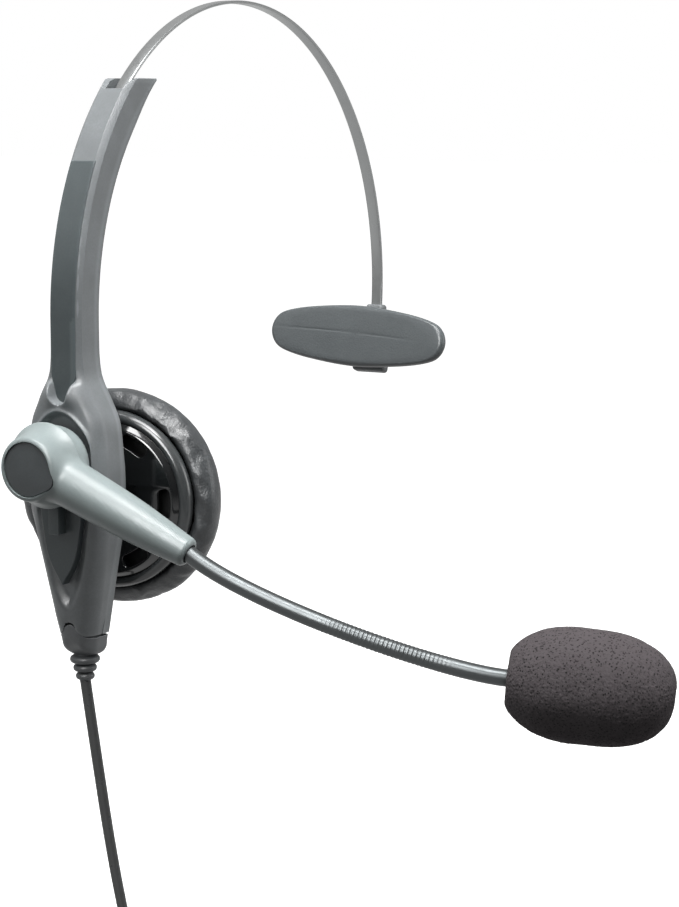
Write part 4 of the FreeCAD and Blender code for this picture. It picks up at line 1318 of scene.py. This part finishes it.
def area_light(name, place, target, size, power, shape="RECTANGLE"):
    """Light that faces the target; places in metres, power in watts."""
    data = bpy.data.lights.new(name, "AREA")
    data.shape, data.size, data.size_y = shape, *size
    data.energy = power
    light = link(name, data)
    light.location = place
    light.rotation_euler = (Vector(place) - Vector(target)).to_track_quat("Z", "Y").to_euler()
    return light


WORLD_LOW, WORLD_HIGH, TABLE_SHINE = 0.10, 0.60, 0.7
DARK_SIDE, DARK_SHARE = (-0.80, -0.58, -0.15), 0.22


def make_floor():
    """Pale floor well below the headset."""
    size, floor_z = 12.0, -0.26
    corners = [(x * size, y * size, floor_z) for x, y in ((-1, -1), (1, -1), (1, 1), (-1, 1))]
    data = bpy.data.meshes.new("floor")
    data.from_pydata(corners, [], [(0, 1, 2, 3)])
    floor = link("floor", data)
    floor.visible_diffuse = floor.visible_glossy = False
    pale = bpy.data.materials.new("pale_floor")
    pale.use_nodes = True
    shader = pale.node_tree.nodes["Principled BSDF"]
    shader.inputs["Base Color"].default_value = (0.9, 0.9, 0.9, 1)
    shader.inputs["Roughness"].default_value = 0.9
    shader.inputs["Emission Color"].default_value = (1, 1, 1, 1)
    shader.inputs["Emission Strength"].default_value = 0.6
    data.materials.append(pale)


def make_world():
    """White to the eye; to the headset lighter above, darker on one side, and bright in reflections below."""
    world = bpy.data.worlds.new("studio")
    world.use_nodes = True
    tree = world.node_tree
    nodes, links = tree.nodes, tree.links

    def reckon(operation, *values):
        node = nodes.new("ShaderNodeMath")
        node.operation = operation
        for socket, value in zip(node.inputs, values):
            links.new(value, socket)
        return node.outputs["Value"]

    way = nodes.new("ShaderNodeTexCoord").outputs["Generated"]
    rise = nodes.new("ShaderNodeSeparateXYZ")
    links.new(way, rise.inputs["Vector"])
    facing = nodes.new("ShaderNodeVectorMath")
    facing.operation = "DOT_PRODUCT"
    facing.inputs[1].default_value = DARK_SIDE
    links.new(way, facing.inputs[0])
    sky = map_range(tree, rise.outputs["Z"], -0.5, 0.6, WORLD_LOW, WORLD_HIGH).outputs["Result"]
    dim = map_range(tree, facing.outputs["Value"], 0.2, 1.0, 1.0, DARK_SHARE)
    dim.interpolation_type = "SMOOTHSTEP"
    table = map_range(tree, rise.outputs["Z"], 0.0, -0.3, 0.0, TABLE_SHINE).outputs["Result"]
    path = nodes.new("ShaderNodeLightPath")
    shine = reckon("MULTIPLY_ADD", table, path.outputs["Is Glossy Ray"],
                   reckon("MULTIPLY", sky, dim.outputs["Result"]))
    seen = nodes.new("ShaderNodeMix")
    seen.data_type = "FLOAT"
    links.new(path.outputs["Is Camera Ray"], seen.inputs[0])
    links.new(shine, seen.inputs[2])
    seen.inputs[3].default_value = 1.0
    background = nodes["Background"]
    background.inputs["Color"].default_value = (1, 1, 1, 1)
    links.new(seen.outputs[0], background.inputs["Strength"])
    bpy.context.scene.world = world
    bpy.context.scene.view_settings.view_transform = "Standard"


def make_lights():
    """Soft studio lights from above, and one that shows in reflections only."""
    target = (-0.03, -0.03, -0.01)
    area_light("overhead", (-0.26, -0.12, 0.9), target, (0.7, 0.5), 14.0)
    area_light("front_top", (-0.30, -0.36, 0.84), target, (0.28, 0.18), 4.2)
    area_light("right", (0.55, -0.85, 0.20), target, (0.35, 0.5), 1.8)
    area_light("left_back", (-0.7, 0.7, 0.5), target, (0.4, 0.7), 0.9)
    glint = area_light("glint", (-0.80, -0.26, 0.46), (-0.06, 0, -0.04), (0.46, 0.60), 12.0, "ELLIPSE")
    glint.visible_diffuse = False


make_floor()
make_world()
make_lights()
make_outer_shell()
make_inner_shell()
make_inlay()
make_bottom_cap()
make_boom_plate()
make_strain_relief()
make_band()
make_band_clip()
make_temple_pad()
make_cup_back()
make_cup_rim()
make_grille()
make_ear_cushion()
make_boom_arm()
make_gooseneck()
make_windscreen()
make_connector()
make_hank_tie()
make_cord()
make_screws()
finish_kept_nodes()
